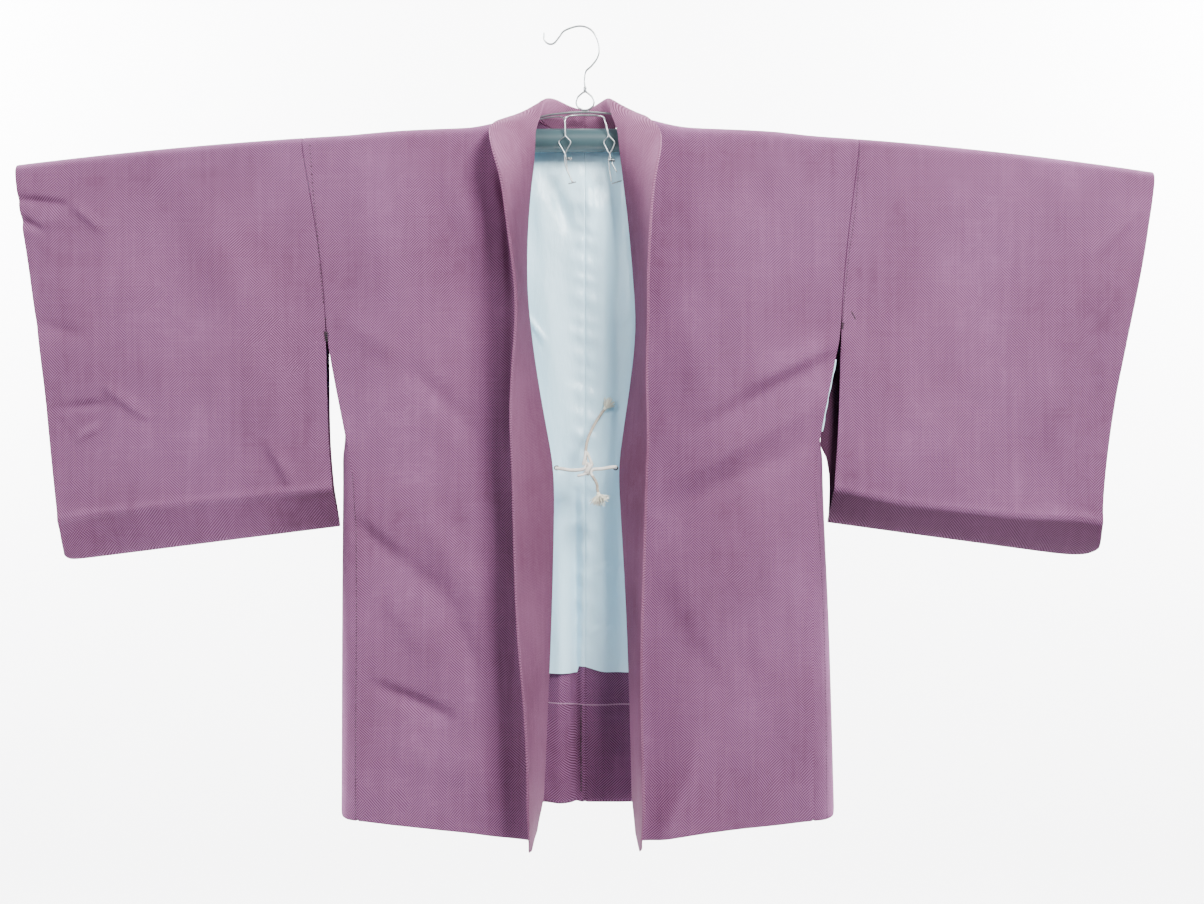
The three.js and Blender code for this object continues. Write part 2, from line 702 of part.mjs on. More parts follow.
function rod(route, radius, sides, steps) {
  const curve = route.length === 2
    ? new THREE.LineCurve3(new THREE.Vector3(...route[0]), new THREE.Vector3(...route[1]))
    : new THREE.CatmullRomCurve3(route.map((p) => new THREE.Vector3(...p)), false, 'centripetal');
  return new THREE.ExtrudeGeometry(roundSection(radius, sides), {
    steps,
    extrudePath: curve,
    bevelEnabled: false,
  });
}

function bareGeometry(geometry) {
  const bare = geometry.clone();
  bare.deleteAttribute('normal');
  bare.deleteAttribute('uv');
  return mergeVertices(bare, 1e-4);
}

function solidOf(geometry) {
  const merged = bareGeometry(geometry);
  return new wasm.Manifold(new wasm.Mesh({
    numProp: 3,
    vertProperties: new Float32Array(merged.getAttribute('position').array),
    triVerts: new Uint32Array(merged.getIndex().array),
  }));
}

function joined(geometries) {
  const solid = geometries.map(solidOf).reduce((sum, next) => sum.add(next));
  const mesh = solid.getMesh();
  const geometry = new THREE.BufferGeometry();
  geometry.setAttribute('position', new THREE.BufferAttribute(mesh.vertProperties, 3));
  geometry.setIndex(new THREE.BufferAttribute(mesh.triVerts, 1));
  geometry.computeVertexNormals();
  return geometry;
}

function ball(centre, radius, stretch = 1) {
  const geometry = new THREE.SphereGeometry(radius, BALL_AROUND, BALL_DOWN);
  geometry.scale(1, 1, stretch);
  geometry.translate(...centre);
  return geometry;
}

// Hanger bar
const BAR_SIDES = 16;
const BAR_STEPS = 6;

function barRoute(from, to) {
  const route = [];
  for (let i = 0; i <= BAR_STEPS; i += 1) {
    const x = lerp(from, to, i / BAR_STEPS);
    route.push([x, 0, barZ(x < 0 ? 'left' : 'right', x)]);
  }
  return route;
}

function barCentre() {
  return rod(barRoute(-CENTRE_HALF, CENTRE_HALF), CENTRE_RADIUS, BAR_SIDES, BAR_STEPS);
}

function barArm(side) {
  const sign = SIDE_SIGN[side];
  const start = sign * (CENTRE_HALF + TOUCH_GAP);
  return rod(barRoute(start, sign * BAR_END), ARM_RADIUS, BAR_SIDES, BAR_STEPS);
}

// Wire yoke on the bar, with the ring and the hook above it
const WIRE_SIDES = 7;
const YOKE_TOP_Z = -94.5;
const YOKE_BEND_RADIUS = 160;
const YOKE_HALF = 74;
const YOKE_ARCH_HALF = 70;
const YOKE_ARCH_STEPS = 6;
const YOKE_WIRE = 1.2;
const YOKE_STEPS = 22;
const RING_RADIUS = 10;
const RING_WIRE = 1;
const RING_STEPS = 20;
const RING_Z = YOKE_TOP_Z + YOKE_WIRE + SEAM_GAP + RING_RADIUS + RING_WIRE;
const HOOK_WIRE = 1.25;
const HOOK_STEPS = 36;
const HOOK_BALL = 1.6;
const HOOK_FOOT_Z = RING_Z + RING_RADIUS + RING_WIRE + TOUCH_GAP;

function yokeZ(x) {
  return YOKE_TOP_Z - (x * x) / (2 * YOKE_BEND_RADIUS);
}

function yoke() {
  const footZ = barZ('right', YOKE_HALF) + CENTRE_RADIUS + TOUCH_GAP;
  const half = [];
  for (let i = 0; i <= YOKE_ARCH_STEPS; i += 1) {
    const x = YOKE_ARCH_HALF * (i / YOKE_ARCH_STEPS);
    half.push([x, 0, yokeZ(x)]);
  }
  half.push([YOKE_HALF, 0, footZ + YOKE_WIRE]);
  const mirrored = half.slice(1).reverse().map(([x, y, z]) => [-x, y, z]);
  return rod([...mirrored, ...half], YOKE_WIRE, WIRE_SIDES, YOKE_STEPS);
}

function ring() {
  const geometry = new THREE.TorusGeometry(RING_RADIUS, RING_WIRE, WIRE_SIDES, RING_STEPS);
  geometry.rotateX(Math.PI / 2);
  geometry.translate(0, 0, RING_Z);
  return geometry;
}

const HOOK_ROUTE = [
  [0, 0, HOOK_FOOT_Z], [-0.6, 0, -56], [1, 0, -48.5], [7, 0, -43], [13.4, 0, -34], [15.7, 0, -24],
  [13.6, 0, -12.5], [7, 0, -2.5], [-3.4, 0, 1.8], [-14, 0, 0.4], [-24, 0, -4], [-29, 0, -10.5],
  [-35, 0, -17.5], [-41.4, 0, -17.8], [-45.6, 0, -13], [-46, 0, -5.6],
];

function hook() {
  const tip = HOOK_ROUTE[HOOK_ROUTE.length - 1];
  return joined([rod(HOOK_ROUTE, HOOK_WIRE, WIRE_SIDES, HOOK_STEPS), ball(tip, HOOK_BALL)]);
}

// Clip carrier under the yoke: it bends over the front of the bar and holds two pinch clips
const CARRIER_WIRE = 0.9;
const CARRIER_SIDES = 6;
const CARRIER_STEPS = 20;
const CARRIER_HALF = 22;
const CARRIER_SAG = 0.9;
const CARRIER_TOP_Z = YOKE_TOP_Z - YOKE_WIRE - SEAM_GAP - CARRIER_WIRE - CARRIER_SAG;
const CARRIER_END_Z = CARRIER_TOP_Z - 9;
const CLIP_Y = -(CENTRE_RADIUS + 3);
const CLIP_TOP_Z = CARRIER_END_Z - 1.1;
const CLIP_WIRE = 0.8;
const CLIP_SIDES = 5;
const CLIP_BEND_STEPS = 3;
const CLIP_BEAD = 1;
const CLIPS = {
  left: { x: -22.4, middle: -24, bottom: -176, tip: -14.5 },
  right: { x: 22.4, middle: 20.8, bottom: -175, tip: 30.5 },
};

function clipCarrier() {
  const half = [
    [CARRIER_HALF - 8, 0, CARRIER_TOP_Z],
    [CARRIER_HALF - 3, -3, CARRIER_TOP_Z - 1.5],
    [CARRIER_HALF, -10, CARRIER_TOP_Z - 4],
    [CARRIER_HALF + 0.4, CLIP_Y, CARRIER_END_Z],
  ];
  const mirrored = half.slice().reverse().map(([x, y, z]) => [-x, y, z]);
  const route = [...mirrored, [0, 0, CARRIER_TOP_Z + 0.3], ...half];
  return rod(route, CARRIER_WIRE, CARRIER_SIDES, CARRIER_STEPS);
}

// One clip: a straight shank, a pinched eye, two jaws that cross and a short grip across their ends
function clip(side) {
  const { x, middle, bottom, tip } = CLIPS[side];
  const neck = [x, CLIP_Y, -121];
  const cross = [x + 1.2, CLIP_Y, -147];
  const bends = [
    [neck, [x - 6.2, CLIP_Y, -131], [x - 5.6, CLIP_Y, -136], cross],
    [neck, [x + 6.2, CLIP_Y, -131], [x + 5.6, CLIP_Y, -136], cross],
    [cross, [middle + 2, CLIP_Y, -160], [tip - 4, CLIP_Y, bottom]],
    [cross, [middle + 7, CLIP_Y, -160], [tip + 4, CLIP_Y, bottom]],
  ];
  const straights = [
    [[x, CLIP_Y, CLIP_TOP_Z], neck],
    [[tip - 5, CLIP_Y, bottom], [tip + 5, CLIP_Y, bottom + 1]],
  ];
  return joined([
    ...bends.map((route) => rod(route, CLIP_WIRE, CLIP_SIDES, CLIP_BEND_STEPS)),
    ...straights.map((route) => rod(route, CLIP_WIRE, CLIP_SIDES, 1)),
    ball(neck, CLIP_BEAD),
    ball(cross, CLIP_BEAD),
  ]);
}

// Tie: loops on the collar's fold, two cords, the knot, and two free ends with tassels
const TIE_RADIUS = 2;
const TIE_SAG = 1.2;
const END_RADIUS = 1.4;
const CORD_SIDES = 8;
const TIE_STEPS = 6;
const END_UP_STEPS = 24;
const END_DOWN_STEPS = 10;
const LOOP_RADIUS = 3.4;
const LOOP_WIRE = 1;
const LOOP_SIDES = 6;
const LOOP_STEPS = 12;
const LOOP_Y = -32.4;
const LOOP_SEAT = 0.4;
const TIE_Y = -35.5;
const TIE_Z = -494;
const KNOT_X = 4;
const KNOT_REACH = 5.6;
const KNOT_TURNS = [
  { centre: [2.5, TIE_Y, TIE_Z + 2], radius: 3.6, stretch: 1.25 },
  { centre: [6.2, TIE_Y - 1, TIE_Z - 1], radius: 3.2, stretch: 1.2 },
  { centre: [4.4, TIE_Y - 2.4, TIE_Z + 1.2], radius: 2.6, stretch: 1.9 },
];

function loopCentreX(side) {
  const foldFace = openingFold(side, TIE_Z).x - COLLAR_WALL / 2 - COLLAR_FOLD_RADIUS;
  return foldFace - LOOP_RADIUS - LOOP_WIRE + LOOP_SEAT;
}

function tieLoop(side) {
  const geometry = new THREE.TorusGeometry(LOOP_RADIUS, LOOP_WIRE, LOOP_SIDES, LOOP_STEPS);
  geometry.rotateX(Math.PI / 2);
  geometry.translate(SIDE_SIGN[side] * loopCentreX(side), LOOP_Y, TIE_Z);
  return geometry;
}

function tieCord(side) {
  const sign = SIDE_SIGN[side];
  const start = sign * (loopCentreX(side) - LOOP_RADIUS - LOOP_WIRE - 2 * TOUCH_GAP);
  const end = KNOT_X + sign * KNOT_REACH;
  return rod([
    [start, LOOP_Y, TIE_Z],
    [lerp(start, end, 0.5), (LOOP_Y + TIE_Y) / 2, TIE_Z - TIE_SAG],
    [end, TIE_Y, TIE_Z],
  ], TIE_RADIUS, CORD_SIDES, TIE_STEPS);
}

function tieKnot() {
  return joined(KNOT_TURNS.map(({ centre, radius, stretch }) => ball(centre, radius, stretch)));
}

const END_UP = [
  [1.5, -34, -487.5], [1, -33, -481], [1.2, -30, -473], [2.5, -25, -464], [5.5, -18, -455],
  [9.5, -11, -446.5], [14, -4, -438.5], [18.5, 3, -431.5], [21, 6.5, -428],
];
const END_DOWN = [
  [7.2, -37.2, -499.3], [9.2, -37.8, -503.2], [11.6, -37.6, -507.5], [12.6, -37, -512],
  [11.6, -36.2, -516.5], [11.2, -36, -521],
];

// A tassel: a small head with short strands that fan out from it along its own axis (degrees)
const TASSEL_HEAD = 2.1;
const TASSEL_HEAD_GAP = 0.4;
const STRAND_RADIUS = 0.42;
const STRAND_SIDES = 4;
const STRAND_ROOT = 0.8;
const STRAND_TURN = 137.5;
const STRAND_RAGGED = 0.14;
const TASSELS = {
  up: { route: END_UP, strands: 20, length: 12, spread: 34 },
  down: { route: END_DOWN, strands: 22, length: 10, spread: 62 },
};

function tassel({ route, strands, length, spread }) {
  const end = new THREE.Vector3(...route[route.length - 1]);
  const before = new THREE.Vector3(...route[route.length - 2]);
  const axis = end.clone().sub(before).normalize();
  const head = end.clone().addScaledVector(axis, TASSEL_HEAD + TASSEL_HEAD_GAP);
  const side = new THREE.Vector3(0, 1, 0).cross(axis).normalize();
  const other = axis.clone().cross(side).normalize();
  const pieces = [ball(head.toArray(), TASSEL_HEAD)];
  for (let i = 0; i < strands; i += 1) {
    const lean = spread * Math.sqrt((i + 0.5) / strands) * DEGREE;
    const round = i * STRAND_TURN * DEGREE;
    const way = axis.clone().multiplyScalar(Math.cos(lean))
      .addScaledVector(side, Math.sin(lean) * Math.cos(round))
      .addScaledVector(other, Math.sin(lean) * Math.sin(round));
    const reach = length * (1 - STRAND_RAGGED * (1 - Math.cos(2 * i)));
    const root = head.clone().addScaledVector(way, STRAND_ROOT);
    const tip = head.clone().addScaledVector(way, reach);
    pieces.push(rod([root.toArray(), tip.toArray()], STRAND_RADIUS, STRAND_SIDES, 1));
  }
  return joined(pieces);
}

// The whole part
const part = new THREE.Group();

function add(name, geometry, material) {
  const mesh = new THREE.Mesh(geometry, material);
  mesh.name = name;
  part.add(mesh);
}

for (const side of ['left', 'right']) {
  add(`body_${side}`, bodyPanel(side), CLOTH);
  add(`sleeve_${side}`, sleeve(side), CLOTH);
  add(`gusset_${side}`, gusset(side), CLOTH);
  add(`lining_${side}`, lining(side), SATIN);
  add(`facing_${side}`, facing(side), CLOTH);
  add(`loop_${side}`, tieLoop(side), CORD);
  add(`tie_${side}`, tieCord(side), CORD);
  add(`bar_arm_${side}`, barArm(side), TUBE);
  add(`clip_${side}`, clip(side), WIRE);
}
add('collar', collar(), COLLAR_CLOTH);
add('tie_knot', tieKnot(), CORD);
add('tie_end_up', rod(END_UP, END_RADIUS, CORD_SIDES, END_UP_STEPS), CORD);
add('tie_end_down', rod(END_DOWN, END_RADIUS, CORD_SIDES, END_DOWN_STEPS), CORD);
add('tassel_up', tassel(TASSELS.up), CORD);
add('tassel_down', tassel(TASSELS.down), CORD);
add('bar_centre', barCentre(), TUBE);
add('yoke', yoke(), WIRE);
add('ring', ring(), WIRE);
add('hook', hook(), WIRE);
add('clip_carrier', clipCarrier(), WIRE);

export default part;
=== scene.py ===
"""Looks of a women's haori hanging open-fronted on a telescopic kimono hanger.

Metres, +Z up, the garment's front faces -Y. Left and right are the viewer's. The origin is the
underside of the hanger's hook. Tables are in millimetres where they say so.
"""
import math
from collections import namedtuple

import bmesh
import bpy
import numpy as np
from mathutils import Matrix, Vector
from mathutils.bvhtree import BVHTree


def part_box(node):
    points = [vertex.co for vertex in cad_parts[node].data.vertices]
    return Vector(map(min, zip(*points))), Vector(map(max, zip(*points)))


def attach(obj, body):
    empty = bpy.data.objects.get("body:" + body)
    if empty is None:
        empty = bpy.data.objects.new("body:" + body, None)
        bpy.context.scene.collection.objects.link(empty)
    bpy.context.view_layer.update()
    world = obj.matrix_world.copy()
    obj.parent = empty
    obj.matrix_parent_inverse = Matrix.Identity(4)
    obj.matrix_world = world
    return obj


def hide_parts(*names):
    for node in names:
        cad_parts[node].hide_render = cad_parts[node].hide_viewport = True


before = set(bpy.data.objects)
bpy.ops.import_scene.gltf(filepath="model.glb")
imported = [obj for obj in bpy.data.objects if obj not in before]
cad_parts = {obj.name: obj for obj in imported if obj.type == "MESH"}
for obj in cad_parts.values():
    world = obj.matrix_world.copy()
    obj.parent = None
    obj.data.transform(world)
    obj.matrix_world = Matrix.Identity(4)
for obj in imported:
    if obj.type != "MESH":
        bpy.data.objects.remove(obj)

bl_info = {
    "name": "Haori on a kimono hanger",
    "version": (1, 0, 0),
    "blender": (4, 5, 0),
    "location": "View3D > Sidebar > Haori",
    "description": "Fine cloth, tie, wires and stage for a haori on its hanger",
    "category": "Object",
}

MM = 0.001
SIDES = {"left": -1, "right": 1}
SEED = 11

# Photograph
PHOTO_WIDTH = 1204
PHOTO_FOCUS_PX = 1786
SENSOR_MM = 36
CAMERA_PLACE = (0.019, -2.0, -0.475)

# Heights that the cloth is worked out from
BAR_Z = -0.126
BAR_RADIUS = 0.013
ARM_RADIUS = 0.010
BAR_BOW = {"left": 5.0, "right": 4.17}
BAR_CENTRE_HALF = 0.200
BAR_END = 0.622
FACING_TOP_Z = -0.722
INWARD_FACING = -0.3
SLEEVE_LINING_EDGE = 0.032
CUFF_LINING_EDGE = 0.020
NECK_CLOTH = (0.100, -0.128)

# Cloth shells: how far the CAD wall is refined and how crisp its rims stay
MERGE = 0.00002
RIM_ANGLE = math.radians(75)
JOIN_FACE_ANGLE = math.radians(70)
JOIN_SHAPE_ANGLE = math.radians(120)
PUSH_FADE = (0.002, 0.008)
BAR_FADE = (0.020, 0.060)
BACK_WAVE_SHIFT = 0.31
RIDGE_SHARE = 0.7
SEAM_REACH = 0.0012
SEAM_MEET = 0.0001

Shell = namedtuple("Shell", "node slot levels rim width length area")
SHELLS = [
    Shell("body_left", "cloth", 3, 0.9, 0.300, 1.53, 0.378),
    Shell("body_right", "cloth", 3, 0.9, 0.300, 1.53, 0.374),
    Shell("sleeve_left", "cloth", 3, 0.8, 0.330, 0.87, 0.286),
    Shell("sleeve_right", "cloth", 3, 0.8, 0.330, 0.87, 0.281),
    Shell("gusset_left", "cloth", 3, 0.9, 0.058, 0.43, 0.0225),
    Shell("gusset_right", "cloth", 3, 0.9, 0.058, 0.43, 0.0229),
    Shell("collar", "collar_cloth", 3, 0.7, 0.074, 1.80, 0.125),
    Shell("lining_left", "satin", 4, 0.8, 0.285, 0.57, 0.160),
    Shell("lining_right", "satin", 4, 0.8, 0.285, 0.57, 0.158),
    Shell("facing_left", "cloth", 3, 0.8, 0.255, 0.155, 0.039),
    Shell("facing_right", "cloth", 3, 0.8, 0.255, 0.155, 0.039),
]

# Creases (mm): a line from (x0, z0) to (x1, z1), its half width, and how far it stands out of
# the cloth there (below 0: a trough)
Crease = namedtuple("Crease", "x0 z0 x1 z1 width depth")
# Creases this narrow get a finer wall, this many half widths to each side
FINE_CREASE = 9
FINE_REACH = 2.4
# A crease sinks into no more than this share of the room to the other wall
CREASE_ROOM = 0.6
TINY = 1e-6
# How deep a crease still is at its ends, and how soon it deepens from there
CREASE_END = 0.35
CREASE_TAPER = 0.7
FRONT_CREASES = [
    # Left sleeve
    Crease(-634, -193, -580, -200, 5, -3.0),
    Crease(-568, -201, -537, -227, 6, 2.6),
    Crease(-633, -214, -604, -228, 5, -3.0),
    Crease(-618, -228, -566, -208, 9, 1.6),
    Crease(-604, -428, -536, -421, 4.5, -2.6),
    Crease(-596, -434, -571, -463, 5, -2.2),
    Crease(-571, -463, -541, -446, 5, 2.4),
    Crease(-534, -401, -490, -435, 6, 3.0),
    Crease(-598, -540, -570, -516, 5, 1.8),
    Crease(-352, -464, -326, -510, 7, 2.6),
    Crease(-610, -332, -560, -345, 8, -1.6),
    Crease(-600, -300, -480, -286, 22, 1.8),
    Crease(-480, -180, -440, -420, 30, -2.2),
    Crease(-420, -230, -350, -330, 26, 1.8),
    # Left front
    Crease(-118, -124, -98, -150, 7, -4.0),
    Crease(-97, -152, -86, -206, 6, -4.0),
    Crease(-86, -210, -80, -300, 6, -2.6),
    Crease(-80, -300, -81, -470, 7, -1.8),
    Crease(-150, -136, -118, -260, 16, 2.2),
    Crease(-207, -361, -129, -450, 13, -3.0),
    Crease(-262, -330, -170, -392, 12, 2.2),
    Crease(-259, -552, -217, -588, 9, -3.4),
    Crease(-220, -585, -150, -640, 13, -3.6),
    Crease(-152, -640, -120, -712, 12, -3.0),
    Crease(-178, -548, -112, -640, 16, 3.0),
    Crease(-240, -610, -176, -690, 16, 2.6),
    Crease(-232, -734, -146, -770, 9, -3.6),
    Crease(-205, -800, -110, -830, 18, 2.0),
    # Right front
    Crease(283, -352, 190, -395, 11, 3.0),
    Crease(278, -368, 120, -452, 10, -3.4),
    Crease(262, -420, 100, -505, 13, 2.8),
    Crease(240, -470, 90, -540, 12, -2.2),
    Crease(129, -800, 78, -896, 12, 3.0),
    Crease(206, -150, 190, -260, 12, -2.0),
    Crease(90, -640, 160, -760, 16, -2.2),
    Crease(236, -600, 196, -720, 16, 2.0),
    # Right sleeve
    Crease(430, -200, 470, -380, 28, -2.2),
    Crease(560, -240, 520, -470, 26, 2.0),
    Crease(330, -380, 420, -500, 18, 2.2),
    Crease(300, -300, 340, -420, 14, -1.8),
    Crease(620, -200, 560, -260, 9, 2.0),
]
BACK_CREASES = [
    Crease(-180, -170, -140, -420, 16, -2.2),
    Crease(-255, -360, -150, -440, 12, 2.6),
    Crease(-70, -300, -96, -700, 18, 2.4),
    Crease(-520, -210, -450, -330, 12, -2.4),
    Crease(-600, -380, -520, -440, 8, 2.4),
    Crease(-380, -250, -410, -500, 22, 2.2),
    Crease(170, -180, 130, -520, 20, 2.4),
    Crease(262, -370, 140, -430, 11, -2.8),
    Crease(220, -560, 130, -660, 14, 2.6),
    Crease(90, -620, 70, -860, 14, -2.2),
    Crease(-220, -640, -150, -780, 15, -2.6),
    Crease(360, -230, 430, -420, 20, -2.4),
    Crease(610, -300, 500, -360, 10, 2.4),
    Crease(570, -440, 480, -520, 12, -2.0),
]
# Folds of the lining and the facing inside the back, on top of an even stand-off
INSIDE_CREASES = [
    Crease(-44, -150, -16, -228, 9, -4.4),
    Crease(-2, -158, 8, -232, 8, 2.6),
    Crease(-52, -180, -48, -240, 8, 1.6),
    Crease(-40, -255, -32, -450, 15, 2.6),
    Crease(-66, -322, -45, -350, 3.5, 2.0),
    Crease(36, -170, 33, -480, 10, -3.6),
    Crease(19, -190, 21, -420, 8, 1.6),
    Crease(-28, -505, -29, -870, 10, 3.6),
    Crease(-11, -520, -10, -870, 4.5, -4.4),
    Crease(2, -540, 1, -712, 7, 2.4),
    Crease(36, -520, 38, -800, 9, -2.6),
    Crease(8, -610, 40, -598, 3, 1.6),
    Crease(6, -680, 30, -668, 3, 1.4),
]
INSIDE_STAND_OFF = 7.0
INSIDE_SCALE = 1.6
INSIDE_HALF = (0.075, 0.120)
INSIDE_TOP = (0.150, 0.195)
HEM_TOP = (0.600, 0.710)

# Sleeve bottoms: the line (mm) along which each is folded back, how deep the band below it is,
# how far its edge swings back and how far the fold stands out
BandPoint = namedtuple("BandPoint", "x z")
SLEEVE_BANDS = {
    "left": [BandPoint(-620, -553), BandPoint(-589, -550), BandPoint(-440, -531),
             BandPoint(-284, -515)],
    "right": [BandPoint(283, -515), BandPoint(356, -531), BandPoint(482, -545),
              BandPoint(581, -549), BandPoint(620, -550)],
}
BAND_DEPTH = 0.042
BAND_SWING = {"left": 0.022, "right": 0.034}
BAND_LIP = {"left": 0.0042, "right": 0.0028}
BAND_LIP_WIDTH = 0.005
LIP_FRONT = (0.001, 0.004)
BAND_MOST = 1.3
BAND_CURL = 1.15
# Painted shade on the sleeves' bands: how soon it sets in below the line, how dark it is on each side,
# how dark the left band is towards the body, and across what width that fades
BAND_PAINTED_SHADE_REACH = (0.001, 0.006)
BAND_SHADE = {"left": 0.16, "right": 0.66}
BAND_SHADE_IN = 0.45
BAND_SHADE_X = (0.290, 0.370)

# The fronts hang a little lower than the frame's hem, and the sleeves' outer corners are fuller
HEM_DROP = 0.0075
HEM_DROP_Z = (0.800, 0.880)
HEM_FRONT = (0.0, 0.012)
HEM_BACK = (0.004, 0.010)
CORNER_X = 0.592
CORNER_Z = {"left": -0.600, "right": -0.586}
CORNER_REACH = 0.030
CORNER_PULL = 0.5

# The collar's peaks beside the neck lean in and lie a little lower
PEAK_Z = (-0.125, -0.088)
PEAK_CENTRE = -0.005
PEAK_LEAN = 0.14
PEAK_DROP = 0.0035

# The collar's tips narrow to a rounded end: heights, the tips' middles and how far they narrow
TIP_Z = (0.845, 0.903)
TIP_X = {"left": -0.0570, "right": 0.0580}
TIP_NARROW = 0.55
TIP_ROUND = 0.007
TIP_LIFT = 0.007
TIP_LIFT_Y = (0.088, 0.111)

# The back's hem sinks where the inside rolls forward; the lining's hem has a notch (mm)
HEM_ROLL = 0.55
NOTCH = {"x": -7.5, "start": 1.5, "end": 24, "rise": 7.0, "top": 0.690, "low": 0.705}
GUSSET_SHIFT = 0.0012

# The gusset's top, and how far (mm) the right sleeve's back wall reaches in at each depth
GUSSET_TUCK = 0.003
GUSSET_TUCK_DOWN = 0.030
BACK_REACH = [
    (0.336, 0), (0.352, 9), (0.372, 17), (0.468, 17), (0.482, 9), (0.500, 5), (0.520, 3), (0.545, 0),
]
BACK_REACH_FADE = (0.006, 0.060)

# Gentle unevenness over all cloth (mm): wave length across and down, turn and height
Wave = namedtuple("Wave", "across down turn height")
CLOTH_WAVES = [
    Wave(173, 611, 0.4, 0.55),
    Wave(97, 283, 2.1, 0.35),
    Wave(61, 149, 4.4, 0.22),
    Wave(-131, 211, 1.2, 0.30),
]

# Lining: puckers beside the centre seam (mm): height z, half length up and down, depth, reach
PUCKER_SCALE = 2.3
PUCKER_SEAM = 0.0025
PUCKER_HELD = 0.6
Pucker = namedtuple("Pucker", "z half depth reach")
PUCKERS = [
    Pucker(-176, 6, 0.9, 11), Pucker(-197, 8, 1.2, 14), Pucker(-222, 6, 0.8, 10),
    Pucker(-239, 7, 1.3, 13), Pucker(-262, 8, 1.0, 15), Pucker(-281, 5, 1.1, 10),
    Pucker(-303, 8, 1.4, 14), Pucker(-327, 6, 1.0, 12), Pucker(-344, 7, 1.5, 15),
    Pucker(-369, 8, 1.2, 13), Pucker(-388, 6, 1.0, 10), Pucker(-409, 8, 1.4, 15),
    Pucker(-436, 7, 1.1, 12), Pucker(-458, 7, 1.3, 14), Pucker(-484, 9, 1.2, 13),
    Pucker(-512, 6, 0.9, 11), Pucker(-534, 8, 1.3, 14), Pucker(-561, 7, 1.0, 12),
    Pucker(-588, 8, 1.2, 13), Pucker(-617, 7, 1.1, 12), Pucker(-645, 8, 1.3, 14),
    Pucker(-675, 7, 1.0, 12), Pucker(-700, 6, 0.9, 10),
]

# Stitches: rows of thread (mm) on the pieces named, their pitch, length, radius and which way
# each stitch lies (0 along its row, 90 across it)
StitchRow = namedtuple("StitchRow", "name nodes route pitch length radius turn")
STITCH_ROWS = [
    StitchRow(
        "armhole_stitches_left", ("body_left", "sleeve_left"),
        [(-306, -134), (-302, -190), (-296, -250), (-291, -310), (-287, -340)], 4.6, 2.0, 0.45, 35,
    ),
    StitchRow(
        "armhole_stitches_right", ("body_right", "sleeve_right"),
        [(306, -140), (301, -205), (294, -254), (288, -310), (286, -336)], 4.2, 2.4, 0.38, 10,
    ),
    StitchRow(
        "armhole_tack_left", ("body_left", "sleeve_left"), [(-288.2, -342), (-287.9, -351)],
        2.2, 5.2, 0.75, 70,
    ),
    StitchRow(
        "armhole_tack_right", ("body_right", "sleeve_right"), [(287, -332), (286.5, -338)],
        2.2, 2.6, 0.55, 70,
    ),
    StitchRow(
        "side_stitches_left", ("body_left", "gusset_left"),
        [(-258.6, -500), (-253.8, -596), (-253.6, -740), (-253.8, -884)], 3.6, 2.0, 0.4, 0,
    ),
    StitchRow(
        "side_stitches_right", ("body_right", "gusset_right"),
        [(257, -520), (262.4, -596), (266.6, -700), (268.6, -884)], 3.6, 2.0, 0.35, 0,
    ),
    StitchRow("loose_thread", ("sleeve_right",), [(297.5, -321), (300, -325.5)], 6, 4.6, 0.7, 0),
    StitchRow(
        "centre_back_stitches", ("facing_left", "facing_right"),
        [(-4.6, -762), (-4.8, -800), (-4.6, -858)], 3.4, 2.0, 0.7, 0,
    ),
]
STITCH_SIDES = 5
STITCH_SINK = 0.00015
FACING_FOLD = [(-46, -757.5), (-20, -758.5), (-8, -760.5), (20, -761), (52, -760)]
FACING_FOLD_RADIUS = 0.7
SIDE_SLIT = {"top": -0.372, "bottom": -0.452, "radius": 0.0011, "y": -0.0102, "steps": 9}

# Tie (mm, as the CAD's routes)
TIE_RADIUS = 2.0
END_RADIUS = 1.7
LOOP_RADIUS = 2.3
LOOP_WIRE = 0.75
LOOP_OUT = 1.9
TIE_LEFT = [
    (-32.4, -32.6, -492.6), (-24, -33.2, -493.6), (-14, -34, -495), (-2, -35.5, -494), (1.2, -35, -491),
]
TIE_RIGHT = [
    (34.8, -32.6, -491.2), (26.5, -33.2, -492.2), (18, -34, -493.6), (10, -35.5, -494),
    (7, -36.4, -496.5),
]
END_UP = [
    (1.5, -34, -487.5), (1, -33, -481), (1.2, -30, -473), (2.5, -25, -464), (5.5, -18, -455),
    (9.5, -11, -446.5), (14, -4, -438.5), (18.5, 3, -431.5), (21, 6.5, -428),
]
END_DOWN = [
    (7.2, -37.2, -499.3), (9.6, -37.8, -503.2), (12.2, -37.6, -507.5), (13.6, -37, -511.6),
    (13.8, -36.4, -515.4), (14.6, -36, -519),
]
KNOT_WRAPS = [
    [(0.5, -34, -498), (2.5, -38.6, -496.5), (5, -38.8, -492), (4.2, -36, -488.4), (2, -33.6, -490)],
    [(7.5, -33.8, -489.5), (6.4, -37.8, -490.5), (3, -39, -494), (1.6, -36.8, -498.2), (4, -34, -499)],
    [(-1.8, -35, -489), (0.2, -35.6, -481), (1.0, -31.5, -474.5)],
    [(8.4, -36.6, -489), (5.4, -35, -482), (2.2, -31, -475)],
    [(4.4, -38, -497.4), (-1.5, -38.6, -499.8), (-7.6, -37.6, -501.2)],
]
KNOT_SCALE = [1.3, 1.3, 1.0, 0.95, 0.85]
TIE_WORN_Z = (-0.484, -0.501)

